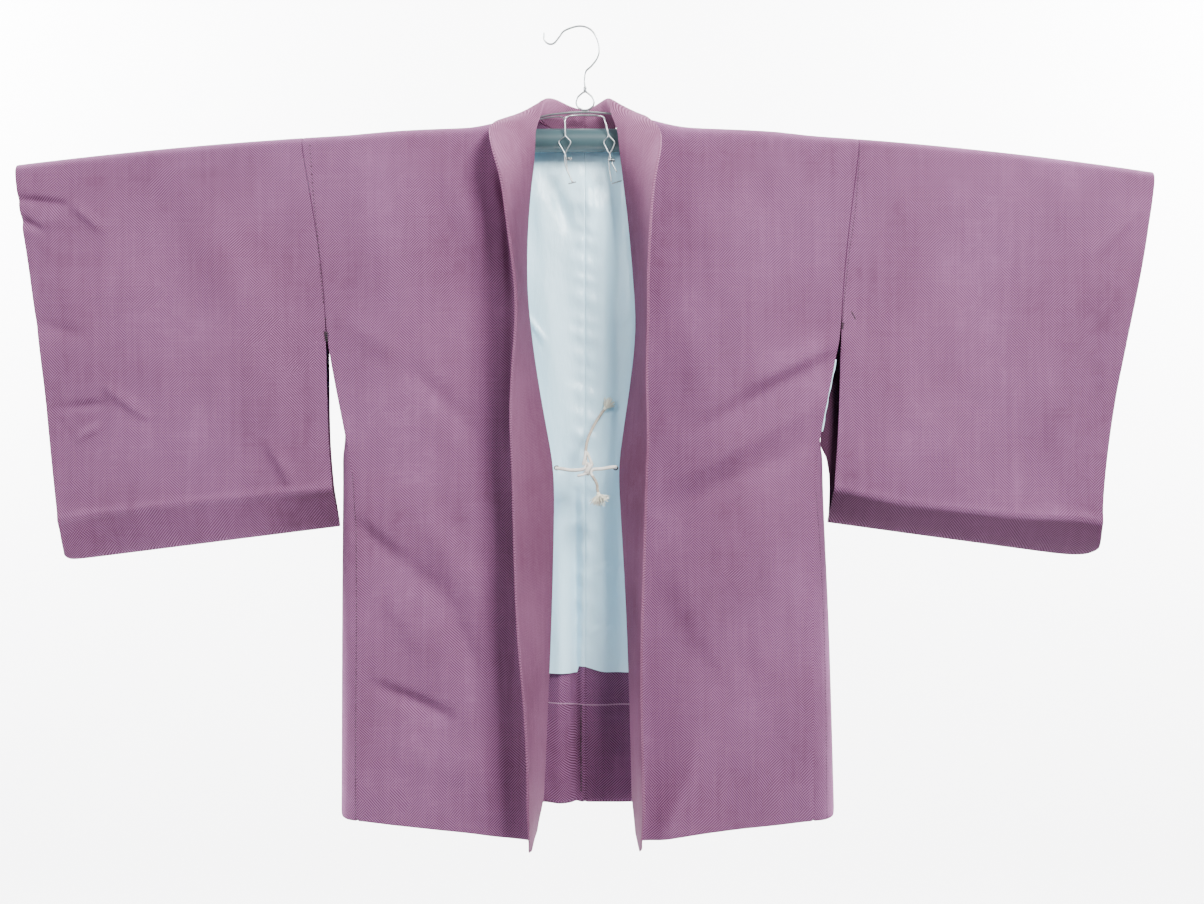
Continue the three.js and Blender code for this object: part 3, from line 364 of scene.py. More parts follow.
# Wires (mm, beside the CAD's routes)
HOOK_ROUTE = [
    (0, 0, -70.6), (-0.6, 0, -56), (1, 0, -48.5), (7, 0, -43), (13.4, 0, -34), (15.7, 0, -24),
    (13.6, 0, -12.5), (7, 0, -2.5), (-3.4, 0, 1.8), (-14, 0, 0.4), (-24, 0, -4),
    (-29, 0, -10.5), (-35, 0, -17.5), (-41.4, 0, -17.8), (-45.6, 0, -13), (-46, 0, -5.6),
]
HOOK_WIRE = 1.15
HOOK_TWIST = {"top": -66.2, "bottom": -70.8, "reach": 1.5, "wire": 0.7, "turns": 3}
RING_ROUTE = [
    (0, 0, -71.6), (3.4, 0, -73.4), (8.2, 0, -77.8), (9.9, 0, -83), (8, 0, -88.4), (3.6, 0, -91.5),
    (0, 0, -92.3), (-3.6, 0, -91.5), (-8, 0, -88.4), (-9.9, 0, -83), (-8.2, 0, -77.8),
    (-3.4, 0, -73.4),
]
RING_WIRE = 1.1
YOKE_HALF_ROUTE = [
    (0, 0, -94.5), (18, 0, -95.2), (34, 0, -96.7), (48, 0, -99.2), (60, 0, -103), (69, 0, -107.6),
    (74, 0, -113),
]
YOKE_WIRE = 1.15
BRACE_ROUTE = [
    (-66, -1.6, -108), (-54, -1.9, -103.4), (-40, -2, -100.8), (-28, -2.4, -100), (-24, -5, -101.8),
    (-23, -12, -105), (-22.6, -15.6, -108.4),
]
BRACE_WIRE = 0.75
CARRIER_HALF_ROUTE = [
    (0, 0, -98), (11, -0.2, -98.1), (17.5, -2, -99.2), (20.8, -7, -101.4), (22, -13, -104.6),
    (22.4, -15.8, -108.4),
]
CARRIER_WIRE = 0.9
CLIP_WIRE = 0.66
CLIP_Y = -16
CLIP_ROUTES = {
    "left": {
        "eye": [(-22.4, -108), (-22, -119), (-22.2, -124), (-28.6, -130), (-26.4, -136),
                (-22.4, -143.2), (-20.6, -150), (-19, -162), (-14, -176)],
        "eye_back": [(-21.6, -108.6), (-21.6, -119), (-21.4, -124), (-15.8, -130.4), (-18, -136),
                     (-21.6, -143.2), (-22.4, -151), (-20.4, -161), (-16, -170), (-13, -175.4)],
        "bar": [(-18.4, -177), (-9.8, -175)],
        "coil": (-17.8, -149.4),
    },
    "right": {
        "eye": [(22.4, -108), (24.4, -117), (26, -123.6), (21.2, -130.6), (23.6, -137),
                (27.4, -144.4), (29.4, -151), (32, -158), (35.4, -164)],
        "eye_back": [(23.2, -108.6), (25.2, -117), (26.8, -123.6), (32.8, -130.4), (31.2, -137),
                     (27.8, -144.4), (26.6, -152), (27.6, -163), (29.4, -174.6)],
        "bar": [(30, -177), (40.6, -173.6)],
        "coil": (29.8, -150.8),
    },
}
COIL = {"half": 3.2, "reach": 1.6, "wire": 0.6, "turns": 4}

# Tassels: length (mm) and how far (degrees) the strands fan out, and the sizes of a strand
TASSELS = {
    "tassel_up": {"length": 15, "spread": 30},
    "tassel_down": {"length": 14, "spread": 62},
}
STRAND_RADIUS = 0.00024
STRAND_CURL = 0.0016
TASSEL_HEAD = {"start": 0.0022, "end": 0.0026, "radius": 0.0021, "edge": 0.0002}

# Curves and tubes
CURVE_STEPS = 24
TUBE_CAP = 0.5
TUBE_START = (0.31, 0.93, 0.18)
CORD_STEP = 0.0005

# Materials: each material made once by name, and the cloth's attributes: where it lies on the flat
# cloth, and the painted shade on the sleeves' bands
MATERIALS = {}
CLOTH_PLACE = "cloth_place"
BAND_PAINTED_SHADE = "band_painted_shade"

# Unevenness of a material: how fine it is, its detail and how it is stretched along the axes
Grain = namedtuple("Grain", "scale detail stretch", defaults=(2.0, None))
WEAVE_DRIFT = Grain(14.0)
WEAVE_PATCH = Grain(42.0)
WEAVE_FADE = Grain(47.0)
WEAVE_SLUBS_DOWN = Grain(170.0, 2.0, (1.0, 1.0, 0.05))
WEAVE_SLUBS_ACROSS = Grain(260.0, 2.0, (0.05, 1.0, 1.0))
WEAVE_MOTTLE = Grain(8.0, 5.0)
WEAVE_WARM = Grain(5.0, 3.0)
WEAVE_THREADS = Grain(900.0)
SATIN_MOTTLE = Grain(12.0, 3.0, (1.0, 1.0, 0.4))
SATIN_WRINKLES = Grain(34.0, 3.0, (1.0, 1.0, 0.35))
SATIN_THREADS = Grain(1400.0, 1.0, (1.0, 1.0, 0.1))
CORD_WEAR = Grain(160.0, 3.0)
CORD_FIBRES = Grain(2200.0)
TUBE_WEAR = Grain(40.0, 4.0, (0.2, 1.0, 1.0))
TUBE_SKIN = Grain(300.0)
WIRE_MARKS = Grain(700.0, 3.0)
THREAD_TONE = Grain(500.0)
FLOOR_TONE = Grain(3.0)

# How much each unevenness adds to the weave's tone
HATCH_TONE = 1.8
TONE_BASE = -0.46
SLUBS_DOWN_TONE = 0.46
SLUBS_ACROSS_TONE = 0.24
MOTTLE_TONE = 1.2
PALE_SHARE = 0.25
PINK_SHARE = 0.3
PATCH_EDGE = 5.0
PATCH_START = -2.0
CONTRAST = {"cloth": 1.0, "collar_cloth": 0.55, "cloth_painted_shade": 0.8}

# Colours, two for each material, between which its unevenness runs
PINK = (0.185, 0.066, 0.125, 1)
COLOURS = {
    "cloth": [(0.020, 0.0062, 0.014, 1), (0.220, 0.096, 0.200, 1)],
    "collar_cloth": [(0.044, 0.013, 0.029, 1), (0.225, 0.098, 0.180, 1)],
    # Painted shade: a near-black copy of the cloth for the sleeves' inner edges
    "cloth_painted_shade": [(0.006, 0.0022, 0.006, 1), (0.045, 0.018, 0.042, 1)],
    "satin": [(0.53, 0.80, 0.97, 1), (0.64, 0.90, 1.0, 1)],
    "cord": [(0.46, 0.42, 0.37, 1), (0.80, 0.78, 0.74, 1)],
    "cord_end": [(0.22, 0.18, 0.14, 1), (0.46, 0.40, 0.33, 1)],
    "tassel": [(0.55, 0.54, 0.42, 1), (0.84, 0.82, 0.72, 1)],
    "fold": [(0.20, 0.085, 0.165, 1), (0.31, 0.155, 0.265, 1)],
    "tube": [(0.030, 0.058, 0.068, 1), (0.055, 0.095, 0.105, 1)],
    "wire": [(0.26, 0.28, 0.29, 1), (0.50, 0.53, 0.54, 1)],
    "thread": [(0.008, 0.003, 0.006, 1), (0.020, 0.008, 0.015, 1)],
    "floor": [(0.86, 0.86, 0.87, 1), (0.89, 0.89, 0.90, 1)],
}

# Stage: the floor's height, its front and back edge, its half width, and the curve up behind
FLOOR_Z = -2.4
FLOOR_Y = (-0.6, 1.6)
FLOOR_HALF = 6.0
FLOOR_BEND = 0.9
FLOOR_TOP = 3.0
WORLD_COLOUR = (0.92, 0.96, 1.0, 1)
WORLD_STRENGTH = 0.40
Light = namedtuple("Light", "name place aim size power colour", defaults=((1, 1, 1),))
LIGHTS = [
    Light("key", (1.2, -2.2, 1.2), (0, 0, -0.5), 0.95, 245, (1.0, 0.99, 0.97)),
    Light("fill", (-1.9, -1.7, 0.6), (-0.1, 0, -0.5), 1.4, 75),
    Light("back", (0.3, 1.9, 1.4), (0, 0, -0.5), 1.6, 30),
    Light("backdrop_left", (-2.6, 0.9, 1.2), (-0.4, 2.5, -0.6), 1.8, 900),
    Light("backdrop_right", (2.6, 0.9, 1.2), (0.4, 2.5, -0.6), 1.8, 900),
]


def clamp_smooth(value, low=0.0, high=1.0):
    """Smooth step from 0 at low to 1 at high, for numbers and arrays."""
    t = np.clip((value - low) / (high - low), 0, 1)
    return t * t * (3 - 2 * t)


# Mesh helpers


def collection_link(obj):
    """Puts an object in the scene."""
    bpy.context.scene.collection.objects.link(obj)
    return obj


def mesh_object(name, points, faces):
    """A new smooth-shaded mesh object from points in metres and faces of point numbers."""
    mesh = bpy.data.meshes.new(name)
    mesh.from_pydata([tuple(p) for p in points], [], faces)
    mesh.validate()
    mesh.shade_smooth()
    return collection_link(bpy.data.objects.new(name, mesh))


def mesh_points(mesh):
    """The mesh's points as an array."""
    flat = np.empty(3 * len(mesh.vertices))
    mesh.vertices.foreach_get("co", flat)
    return flat.reshape(-1, 3)


def set_points(mesh, points):
    """Writes an array of points back to the mesh."""
    mesh.vertices.foreach_set("co", points.reshape(-1))
    mesh.update()


def joined_meshes(name, parts):
    """One mesh object from several (points, faces) parts."""
    points, faces = [], []
    for part_points, part_faces in parts:
        start = len(points)
        points.extend(part_points)
        faces.extend([tuple(start + i for i in face) for face in part_faces])
    return mesh_object(name, points, faces)


def smooth_line(route, spacing, closed=False):
    """Points a spacing apart on a smooth curve through a route in metres."""
    knots = np.array(route, float)
    count = len(knots)
    spans = count if closed else count - 1
    dense = []
    for i in range(spans):
        if closed:
            a, b, c, d = (knots[(i + k) % count] for k in (-1, 0, 1, 2))
        else:
            a = knots[i - 1] if i else 2 * knots[0] - knots[1]
            b, c = knots[i], knots[i + 1]
            d = knots[i + 2] if i + 2 < count else 2 * knots[-1] - knots[-2]
        for t in np.linspace(0, 1, CURVE_STEPS, endpoint=False):
            dense.append(
                0.5 * (2 * b + (c - a) * t + (2 * a - 5 * b + 4 * c - d) * t**2
                       + (3 * b - a - 3 * c + d) * t**3)
            )
    dense.append(knots[0] if closed else knots[-1])
    dense = np.array(dense)
    steps = np.linalg.norm(np.diff(dense, axis=0), axis=1)
    along = np.concatenate([[0], np.cumsum(steps)])
    wanted = np.linspace(0, along[-1], max(2, round(along[-1] / spacing) + 1))
    return np.stack([np.interp(wanted, along, dense[:, k]) for k in range(3)], axis=1)


def tube(route, radius, sides, spacing, closed=False, relief=None):
    """(points, faces) of a tube along a route. relief(along, turn) scales its radius."""
    line = smooth_line(route, spacing, closed)
    if closed:
        line = line[:-1]
    count = len(line)
    if closed:
        tangents = np.roll(line, -1, axis=0) - np.roll(line, 1, axis=0)
    else:
        tangents = np.gradient(line, axis=0)
    tangents /= np.linalg.norm(tangents, axis=1)[:, None]
    normal = np.cross(tangents[0], TUBE_START)
    points = []
    along = 0.0
    radii = radius if callable(radius) else (lambda share: radius)
    for i in range(count):
        normal = normal - tangents[i] * normal.dot(tangents[i])
        normal /= np.linalg.norm(normal)
        other = np.cross(tangents[i], normal)
        if i:
            along += float(np.linalg.norm(line[i] - line[i - 1]))
        for j in range(sides):
            turn = 2 * math.pi * j / sides
            scale = relief(along, turn) if relief else 1.0
            reach = radii(i / max(1, count - 1)) * scale
            points.append(line[i] + reach * (math.cos(turn) * normal + math.sin(turn) * other))
    faces = []
    for i in range(count if closed else count - 1):
        for j in range(sides):
            k = (j + 1) % sides
            n = (i + 1) % count
            faces.append((i * sides + j, i * sides + k, n * sides + k, n * sides + j))
    if not closed:
        for ring, way in ((0, -1), (count - 1, 1)):
            tip = len(points)
            reach = TUBE_CAP * radii(ring / max(1, count - 1))
            points.append(line[ring] + way * reach * tangents[ring])
            for j in range(sides):
                a, b = ring * sides + j, ring * sides + (j + 1) % sides
                faces.append((b, a, tip) if way < 0 else (a, b, tip))
    return points, faces


def metres(route):
    """A route in millimetres, in metres."""
    return [tuple(MM * value for value in point) for point in route]


# Materials


class Tree:
    """A material's node tree, built a node at a time."""

    def __init__(self, name, roughness, metallic=0.0):
        self.low, self.high = COLOURS[name]
        self.material = bpy.data.materials.new(name)
        self.material.use_nodes = True
        self.tree = self.material.node_tree
        self.shader = self.tree.nodes["Principled BSDF"]
        self.shader.inputs["Roughness"].default_value = roughness
        self.shader.inputs["Metallic"].default_value = metallic
        self.place = self.node("ShaderNodeTexCoord").outputs["Object"]

    def node(self, kind, inputs=(), **settings):
        """A node with settings; inputs are values or other nodes' outputs, by name or number."""
        made = self.tree.nodes.new(kind)
        for key, value in settings.items():
            setattr(made, key, value)
        for key, value in dict(inputs).items():
            if isinstance(value, bpy.types.NodeSocket):
                self.tree.links.new(value, made.inputs[key])
            else:
                made.inputs[key].default_value = value
        return made

    def math(self, operation, *values):
        """The output of a Math node."""
        return self.node("ShaderNodeMath", dict(enumerate(values)), operation=operation).outputs[0]

    def mix(self, factor, low, high):
        """A colour between low and high."""
        made = self.node("ShaderNodeMix", {0: factor, 6: low, 7: high}, data_type="RGBA")
        return made.outputs[2]

    def noise(self, grain):
        """Noise from 0 to 1 on the material's coordinates, as fine and stretched as its grain."""
        place = self.place
        if grain.stretch:
            place = self.node("ShaderNodeMapping", {0: place, "Scale": grain.stretch}).outputs[0]
        inputs = {"Vector": place, "Scale": grain.scale, "Detail": grain.detail}
        return self.node("ShaderNodeTexNoise", inputs).outputs[0]

    def bump(self, height, strength, distance):
        """Puts a bump of that height field on the shader."""
        made = self.node(
            "ShaderNodeBump", {"Height": height, "Strength": strength, "Distance": distance}
        )
        self.tree.links.new(made.outputs[0], self.shader.inputs["Normal"])

    def set(self, name, value):
        """Sets a shader input to a value or links it."""
        if isinstance(value, bpy.types.NodeSocket):
            self.tree.links.new(value, self.shader.inputs[name])
        else:
            self.shader.inputs[name].default_value = value


def weave_material(name, settings):
    """Tsumugi-like cloth: fine hatching that turns from patch to patch, slubs and soft mottling."""
    tree = Tree(name, 0.84)
    contrast = CONTRAST[name]
    tree.place = tree.node("ShaderNodeAttribute", attribute_name=CLOTH_PLACE).outputs["Vector"]
    axes = tree.node("ShaderNodeSeparateXYZ", {0: tree.place}).outputs
    drift = tree.math("MULTIPLY", tree.noise(WEAVE_DRIFT), 2 * settings.weave_pitch)
    across = tree.math("ADD", axes[0], drift)
    turn = 2 * math.pi / settings.weave_pitch
    rising = tree.math("SINE", tree.math("MULTIPLY", tree.math("ADD", axes[2], across), turn))
    falling = tree.math("SINE", tree.math("MULTIPLY", tree.math("SUBTRACT", axes[2], across), turn))
    patch = tree.math("MULTIPLY_ADD", tree.noise(WEAVE_PATCH), PATCH_EDGE, PATCH_START)
    patch = tree.math("MAXIMUM", tree.math("MINIMUM", patch, 1.0), 0.0)
    one = tree.math("MULTIPLY", rising, patch)
    two = tree.math("MULTIPLY", falling, tree.math("SUBTRACT", 1.0, patch))
    hatch = tree.math("MULTIPLY", tree.math("ADD", one, two), tree.noise(WEAVE_FADE))
    slubs_down = tree.noise(WEAVE_SLUBS_DOWN)
    slubs_across = tree.noise(WEAVE_SLUBS_ACROSS)
    mottle = tree.noise(WEAVE_MOTTLE)
    tone = tree.math("MULTIPLY_ADD", hatch, HATCH_TONE * contrast, TONE_BASE)
    tone = tree.math("MULTIPLY_ADD", slubs_down, SLUBS_DOWN_TONE * contrast, tone)
    tone = tree.math("MULTIPLY_ADD", slubs_across, SLUBS_ACROSS_TONE * contrast, tone)
    tone = tree.math("MULTIPLY_ADD", mottle, MOTTLE_TONE, tone)
    cloth = tree.mix(tone, tree.low, tree.high)
    warm = tree.noise(WEAVE_WARM)
    pale, pink = tree.mix(PALE_SHARE, cloth, tree.high), tree.mix(PINK_SHARE, cloth, PINK)
    cloth = tree.mix(warm, pale, pink)
    # Painted shade: the sleeves' bands are darkened towards the cloth's dark colour
    painted_shade = tree.node("ShaderNodeAttribute", attribute_name=BAND_PAINTED_SHADE).outputs["Fac"]
    tree.set("Base Color", tree.mix(painted_shade, cloth, tree.low))
    tree.set("Specular IOR Level", 0.05)
    height = tree.math("MULTIPLY_ADD", tree.noise(WEAVE_THREADS), 0.5, hatch)
    tree.bump(height, 0.5, 0.0004)
    return tree.material


def satin_material():
    """White satin with a blue cast and soft vertical unevenness."""
    tree = Tree("satin", 0.33)
    tree.set("Base Color", tree.mix(tree.noise(SATIN_MOTTLE), tree.low, tree.high))
    tree.set("Specular IOR Level", 0.6)
    wrinkles = tree.noise(SATIN_WRINKLES)
    height = tree.math("MULTIPLY_ADD", tree.noise(SATIN_THREADS), 0.05, wrinkles)
    tree.bump(height, 0.9, 0.005)
    return tree.material


def cord_material(name):
    """Cotton cord: pale fibres with dull patches."""
    tree = Tree(name, 0.75)
    tree.set("Base Color", tree.mix(tree.noise(CORD_WEAR), tree.low, tree.high))
    tree.set("Sheen Weight", 0.2)
    tree.bump(tree.noise(CORD_FIBRES), 0.5, 0.0003)
    return tree.material


def tube_material():
    """Grey-green hanger tube, smooth with faint wear."""
    tree = Tree("tube", 0.34)
    tree.set("Base Color", tree.mix(tree.noise(TUBE_WEAR), tree.low, tree.high))
    tree.bump(tree.noise(TUBE_SKIN), 0.08, 0.0005)
    return tree.material


def wire_material():
    """Bright chrome wire with faint handling marks."""
    tree = Tree("wire", 0.3, metallic=1.0)
    tree.set("Base Color", tree.mix(tree.noise(WIRE_MARKS), tree.low, tree.high))
    return tree.material


def thread_material():
    """Sewing thread a little darker than the cloth."""
    tree = Tree("thread", 0.7)
    tree.set("Base Color", tree.mix(tree.noise(THREAD_TONE), tree.low, tree.high))
    return tree.material


def make_materials(settings):
    """Makes every material once."""
    for name in CONTRAST:
        MATERIALS[name] = weave_material(name, settings)
    for name in ("cord", "cord_end", "tassel", "fold"):
        MATERIALS[name] = cord_material(name)
    MATERIALS.update(
        satin=satin_material(),
        tube=tube_material(),
        wire=wire_material(),
        thread=thread_material(),
    )


def keep_place(mesh, points, kind=""):
    """Keeps where each point lies on the flat cloth, for the weave."""
    x, y, z = points.T
    if kind == "gusset":
        place = np.stack([x + np.sign(x) * y, y, z], axis=1)
    elif kind == "collar":
        place = np.stack([x - np.sign(x) * y, y, z], axis=1)
    else:
        place = np.stack([x, y, z - RIDGE_SHARE * np.abs(y)], axis=1)
    layer = mesh.attributes.new(CLOTH_PLACE, "FLOAT_VECTOR", "POINT")
    layer.data.foreach_set("vector", place.reshape(-1))


def finish_piece(obj, slot, materials, *nodes):
    """Gives a piece its materials, lets it ride and stand for its CAD nodes; the slot argument is not
    used.
    """
    if CLOTH_PLACE not in obj.data.attributes:
        keep_place(obj.data, mesh_points(obj.data))
    obj.data.materials.clear()
    for name in materials:
        obj.data.materials.append(MATERIALS[name])
    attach(obj, "root")
    if nodes:
        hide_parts(*nodes)
    return obj


# Cloth


def wall_quads(node):
    """The CAD wall's points, and its faces with each pair of triangles joined to a quad."""
    made = bmesh.new()
    made.from_mesh(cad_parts[node].data)
    bmesh.ops.remove_doubles(made, verts=made.verts, dist=MERGE)
    bmesh.ops.join_triangles(
        made,
        faces=made.faces,
        angle_face_threshold=JOIN_FACE_ANGLE,
        angle_shape_threshold=JOIN_SHAPE_ANGLE,
    )
    made.verts.index_update()
    points = [tuple(v.co) for v in made.verts]
    faces = [tuple(v.index for v in f.verts) for f in made.faces]
    made.free()
    return points, faces


def refined(shell):
    """A fine, smooth copy of a CAD wall whose rims stay crisp."""
    points, faces = wall_quads(shell.node)
    obj = mesh_object(f"{shell.node}_cloth", points, faces)
    made = bmesh.new()
    made.from_mesh(obj.data)
    crease = made.edges.layers.float.new("crease_edge")
    for edge in made.edges:
        if len(edge.link_faces) == 2 and edge.calc_face_angle() > RIM_ANGLE:
            edge[crease] = shell.rim
    made.to_mesh(obj.data)
    made.free()
    modifier = obj.modifiers.new("Subdivision", "SUBSURF")
    modifier.levels = modifier.render_levels = shell.levels
    graph = bpy.context.evaluated_depsgraph_get()
    fine = bpy.data.meshes.new_from_object(obj.evaluated_get(graph))
    obj.modifiers.clear()
    obj.data = fine
    fine.name = obj.name
    if obj.name.startswith(("body", "sleeve")):
        refine_creases(fine)
    fine.shade_smooth()
    return obj


def refine_creases(mesh):
    """Cuts the wall's front finer round each narrow crease."""
    made = bmesh.new()
    made.from_mesh(mesh)
    edges = list(made.edges)
    middle = np.array([(edge.verts[0].co + edge.verts[1].co) / 2 for edge in edges])
    near = np.zeros(len(edges), bool)
    for row in FRONT_CREASES:
        if row.width <= FINE_CREASE:
            near |= crease_off(row, middle[:, 0], middle[:, 2]) < FINE_REACH * row.width * MM
    near &= middle[:, 1] < 0
    chosen = [edge for edge, fine in zip(edges, near) if fine]
    bmesh.ops.subdivide_edges(made, edges=chosen, cuts=1, use_grid_fill=True)
    made.to_mesh(mesh)
    made.free()


def crease_share(row, x, z):
    """How far along a crease each place lies, from 0 to 1."""
    dx, dz = (row.x1 - row.x0) * MM, (row.z1 - row.z0) * MM
    along = ((x - row.x0 * MM) * dx + (z - row.z0 * MM) * dz) / (dx * dx + dz * dz)
    return np.clip(along, 0, 1)


def crease_off(row, x, z):
    """How far from a crease's line each place lies, in metres."""
    held = crease_share(row, x, z)
    nearest_x = (row.x0 + held * (row.x1 - row.x0)) * MM
    nearest_z = (row.z0 + held * (row.z1 - row.z0)) * MM
    return np.hypot(x - nearest_x, z - nearest_z)


def crease_push(creases, x, z):
    """How far the creases stand out of the cloth at each place, in metres."""
    push = np.zeros_like(x)
    for row in creases:
        off = crease_off(row, x, z)
        middle = np.sin(np.pi * crease_share(row, x, z)) ** CREASE_TAPER
        taper = CREASE_END + (1 - CREASE_END) * middle
        push += row.depth * MM * taper * np.exp(-((off / (row.width * MM)) ** 2))
    return push


def wave_push(x, z):
    """Gentle unevenness of all cloth at each place, in metres."""
    push = np.zeros_like(x)
    for row in CLOTH_WAVES:
        phase = 2 * math.pi * (x / (row.across * MM) + z / (row.down * MM)) + row.turn
        push += row.height * MM * np.sin(phase)
    return push


def inside_push(x, z):
    """How far the lining and the facing stand off the back, in metres."""
    stand = INSIDE_STAND_OFF * MM + INSIDE_SCALE * crease_push(INSIDE_CREASES, x, z)
    window = 1 - clamp_smooth(np.abs(x - PEAK_CENTRE), *INSIDE_HALF)
    return np.maximum(0, stand) * window * clamp_smooth(-z, *INSIDE_TOP)


def push_cloth(points, settings):
    """Moves cloth out along its front or back by the creases that lie there."""
    x, y, z = points.T
    front = crease_push(FRONT_CREASES, x, z) + wave_push(x, z)
    back = crease_push(BACK_CREASES, x, z) + wave_push(x + BACK_WAVE_SHIFT, z)
    fade = clamp_smooth(np.abs(y), *PUSH_FADE)
    fade = fade * clamp_smooth(BAR_Z - z, BAR_FADE[0], BAR_FADE[0] + BAR_FADE[1])
    inward = -np.where(y < 0, front, back) * fade * settings.crease_scale
    room = np.maximum(CREASE_ROOM * np.abs(y), TINY)
    inward = np.where(inward > 0, room * np.tanh(inward / room), inward)
    moved = points.copy()
    moved[:, 1] += np.where(y < 0, inward, -inward)
    return moved


def drop_hem(points):
    """Lets the front's hem hang a little lower, and the back's follow the facing's folds."""
    x, y, z = points.T
    moved = points.copy()
    front = clamp_smooth(-y, *HEM_FRONT)
    moved[:, 2] -= HEM_DROP * front * clamp_smooth(-z, *HEM_DROP_Z)
    behind = clamp_smooth(y, *HEM_BACK) * clamp_smooth(-z, *HEM_TOP)
    moved[:, 1] -= behind * inside_push(x, z)
    moved[:, 2] -= HEM_ROLL * behind * inside_push(x, z)
    return moved


def notch_hem(points):
    """Lifts the lining's hem beside its centre fold."""
    x, _, z = points.T / MM
    start = clamp_smooth(x, NOTCH["x"] - NOTCH["start"], NOTCH["x"])
    fade = 1 - clamp_smooth(x, NOTCH["x"], NOTCH["end"])
    moved = points.copy()
    moved[:, 2] += NOTCH["rise"] * MM * start * fade * clamp_smooth(-z * MM, NOTCH["top"], NOTCH["low"])
    return moved


def below_band(points, side):
    """How far each point of a sleeve lies below its band's line."""
    rows = SLEEVE_BANDS[side]
    line = np.interp(points[:, 0], [row.x * MM for row in rows], [row.z * MM for row in rows])
    return line - points[:, 2]


def keep_painted_band_shade(mesh, points, side):
    """Keeps how far each point of a sleeve lies in its folded-back band, as painted shade for the
    weave.
    """
    painted_shade = clamp_smooth(below_band(points, side), *BAND_PAINTED_SHADE_REACH)
    deep = 1 - clamp_smooth(np.abs(points[:, 0]), *BAND_SHADE_X)
    painted_shade *= BAND_SHADE[side] + (BAND_SHADE_IN - BAND_SHADE[side]) * deep * (side == "left")
    layer = mesh.attributes.new(BAND_PAINTED_SHADE, "FLOAT", "POINT")
    layer.data.foreach_set("value", painted_shade)


def fold_band(points, side):
    """Folds a sleeve's bottom back along its line, under a soft lip."""
    y = points[:, 1]
    below = below_band(points, side)
    share = np.clip(below / BAND_DEPTH, 0, BAND_MOST)
    moved = points.copy()
    lip = BAND_LIP[side] * np.exp(-((below / BAND_LIP_WIDTH) ** 2)) * clamp_smooth(-y, *LIP_FRONT)
    moved[:, 1] += BAND_SWING[side] * share**BAND_CURL - lip
    corner = np.array([SIDES[side] * CORNER_X, CORNER_Z[side]])
    away = corner - points[:, (0, 2)]
    pull = CORNER_PULL * np.exp(-((away**2).sum(axis=1)) / CORNER_REACH**2)
    moved[:, 0] += pull * away[:, 0]
    moved[:, 2] += pull * away[:, 1]
    return moved


def lean_peaks(points):
    """Leans the collar's two peaks beside the neck in and down a little."""
    moved = points.copy()
    share = clamp_smooth(points[:, 2], *PEAK_Z)
    moved[:, 0] -= PEAK_LEAN * share * (points[:, 0] - PEAK_CENTRE)
    moved[:, 2] -= PEAK_DROP * share
    for side, sign in SIDES.items():
        near = sign * points[:, 0] > 0
        narrow = TIP_NARROW * clamp_smooth(-points[:, 2], *TIP_Z) * near
        off = moved[:, 0] - TIP_X[side]
        moved[:, 0] -= narrow * off
        moved[:, 2] += TIP_ROUND * narrow * np.minimum(1, (off / TIP_ROUND) ** 2)
    end = clamp_smooth(-points[:, 2], *TIP_Z) * clamp_smooth(-points[:, 1], *TIP_LIFT_Y)
    moved[:, 2] += TIP_LIFT * end
    return moved


def inner_faces(mesh):
    """True for each face that looks into the garment."""
    count = len(mesh.polygons)
    centre, normal = np.empty(3 * count), np.empty(3 * count)
    mesh.polygons.foreach_get("center", centre)
    mesh.polygons.foreach_get("normal", normal)
    centre, normal = centre.reshape(-1, 3), normal.reshape(-1, 3)
    out = np.stack([centre[:, 1], np.maximum(centre[:, 2] - BAR_Z, 0)], axis=1)
    out /= np.maximum(np.linalg.norm(out, axis=1), TINY)[:, None]
    inward = out[:, 0] * normal[:, 1] + out[:, 1] * normal[:, 2]
    return inward < INWARD_FACING, centre


def line_inside(obj, kind):
    """Each face's material: 1 for the lining's satin inside, 2 for a sleeve's inner edge in painted
    shade.
    """
    inner, centre = inner_faces(obj.data)
    within = inner.copy()
    if kind == "body":
        inner &= centre[:, 2] > FACING_TOP_Z
        inner &= (centre[:, 2] < NECK_CLOTH[1]) | (np.abs(centre[:, 0]) > NECK_CLOTH[0])
    else:
        across = np.abs(centre[:, 0])
        inner &= across > across.min() + SLEEVE_LINING_EDGE
        inner &= across < across.max() - CUFF_LINING_EDGE
        within &= across < across.min() + SLEEVE_LINING_EDGE
        return np.where(within, 2, inner.astype(np.int32))
    return inner.astype(np.int32)


def pucker_push(points):
    """The lining's puckers beside the centre seam, towards the viewer."""
    x, _, z = points.T
    push = np.zeros_like(x)
    for row in PUCKERS:
        up = (z - row.z * MM) / (row.half * MM)
        across = x / (row.reach * MM)
        ridge = np.exp(-(up + 0.5 * across) ** 2) * np.exp(-(across**2))
        push += row.depth * MM * ridge
    seam = np.exp(-((x / PUCKER_SEAM) ** 2))
    return PUCKER_SCALE * push * (1 - PUCKER_HELD * seam)


def close_seam(points, side):
    """Brings the edge at the centre back up to the other half's."""
    moved = points.copy()
    near = np.abs(points[:, 0]) < SEAM_REACH
    moved[near, 0] = -SIDES[side] * SEAM_MEET
    return moved


def tuck_gusset(points, side):
    """Rounds the gusset's top in under the body's edge."""
    moved = points.copy()
    top = points[:, 2].max()
    tuck = GUSSET_TUCK * clamp_smooth(points[:, 2], top - GUSSET_TUCK_DOWN, top)
    moved[:, 0] -= SIDES[side] * (GUSSET_SHIFT + tuck)
    return moved


def open_sleeve(points):
    """Leaves the right sleeve's back wall reaching in behind the body's open side."""
    x, y, z = points.T
    reach = np.interp(-z, [row[0] for row in BACK_REACH], [row[1] for row in BACK_REACH])
    near = 1 - clamp_smooth(x - x.min(), *BACK_REACH_FADE)
    moved = points.copy()
    moved[:, 0] -= reach * MM * near * clamp_smooth(y, 0.0, 0.004)
    return moved


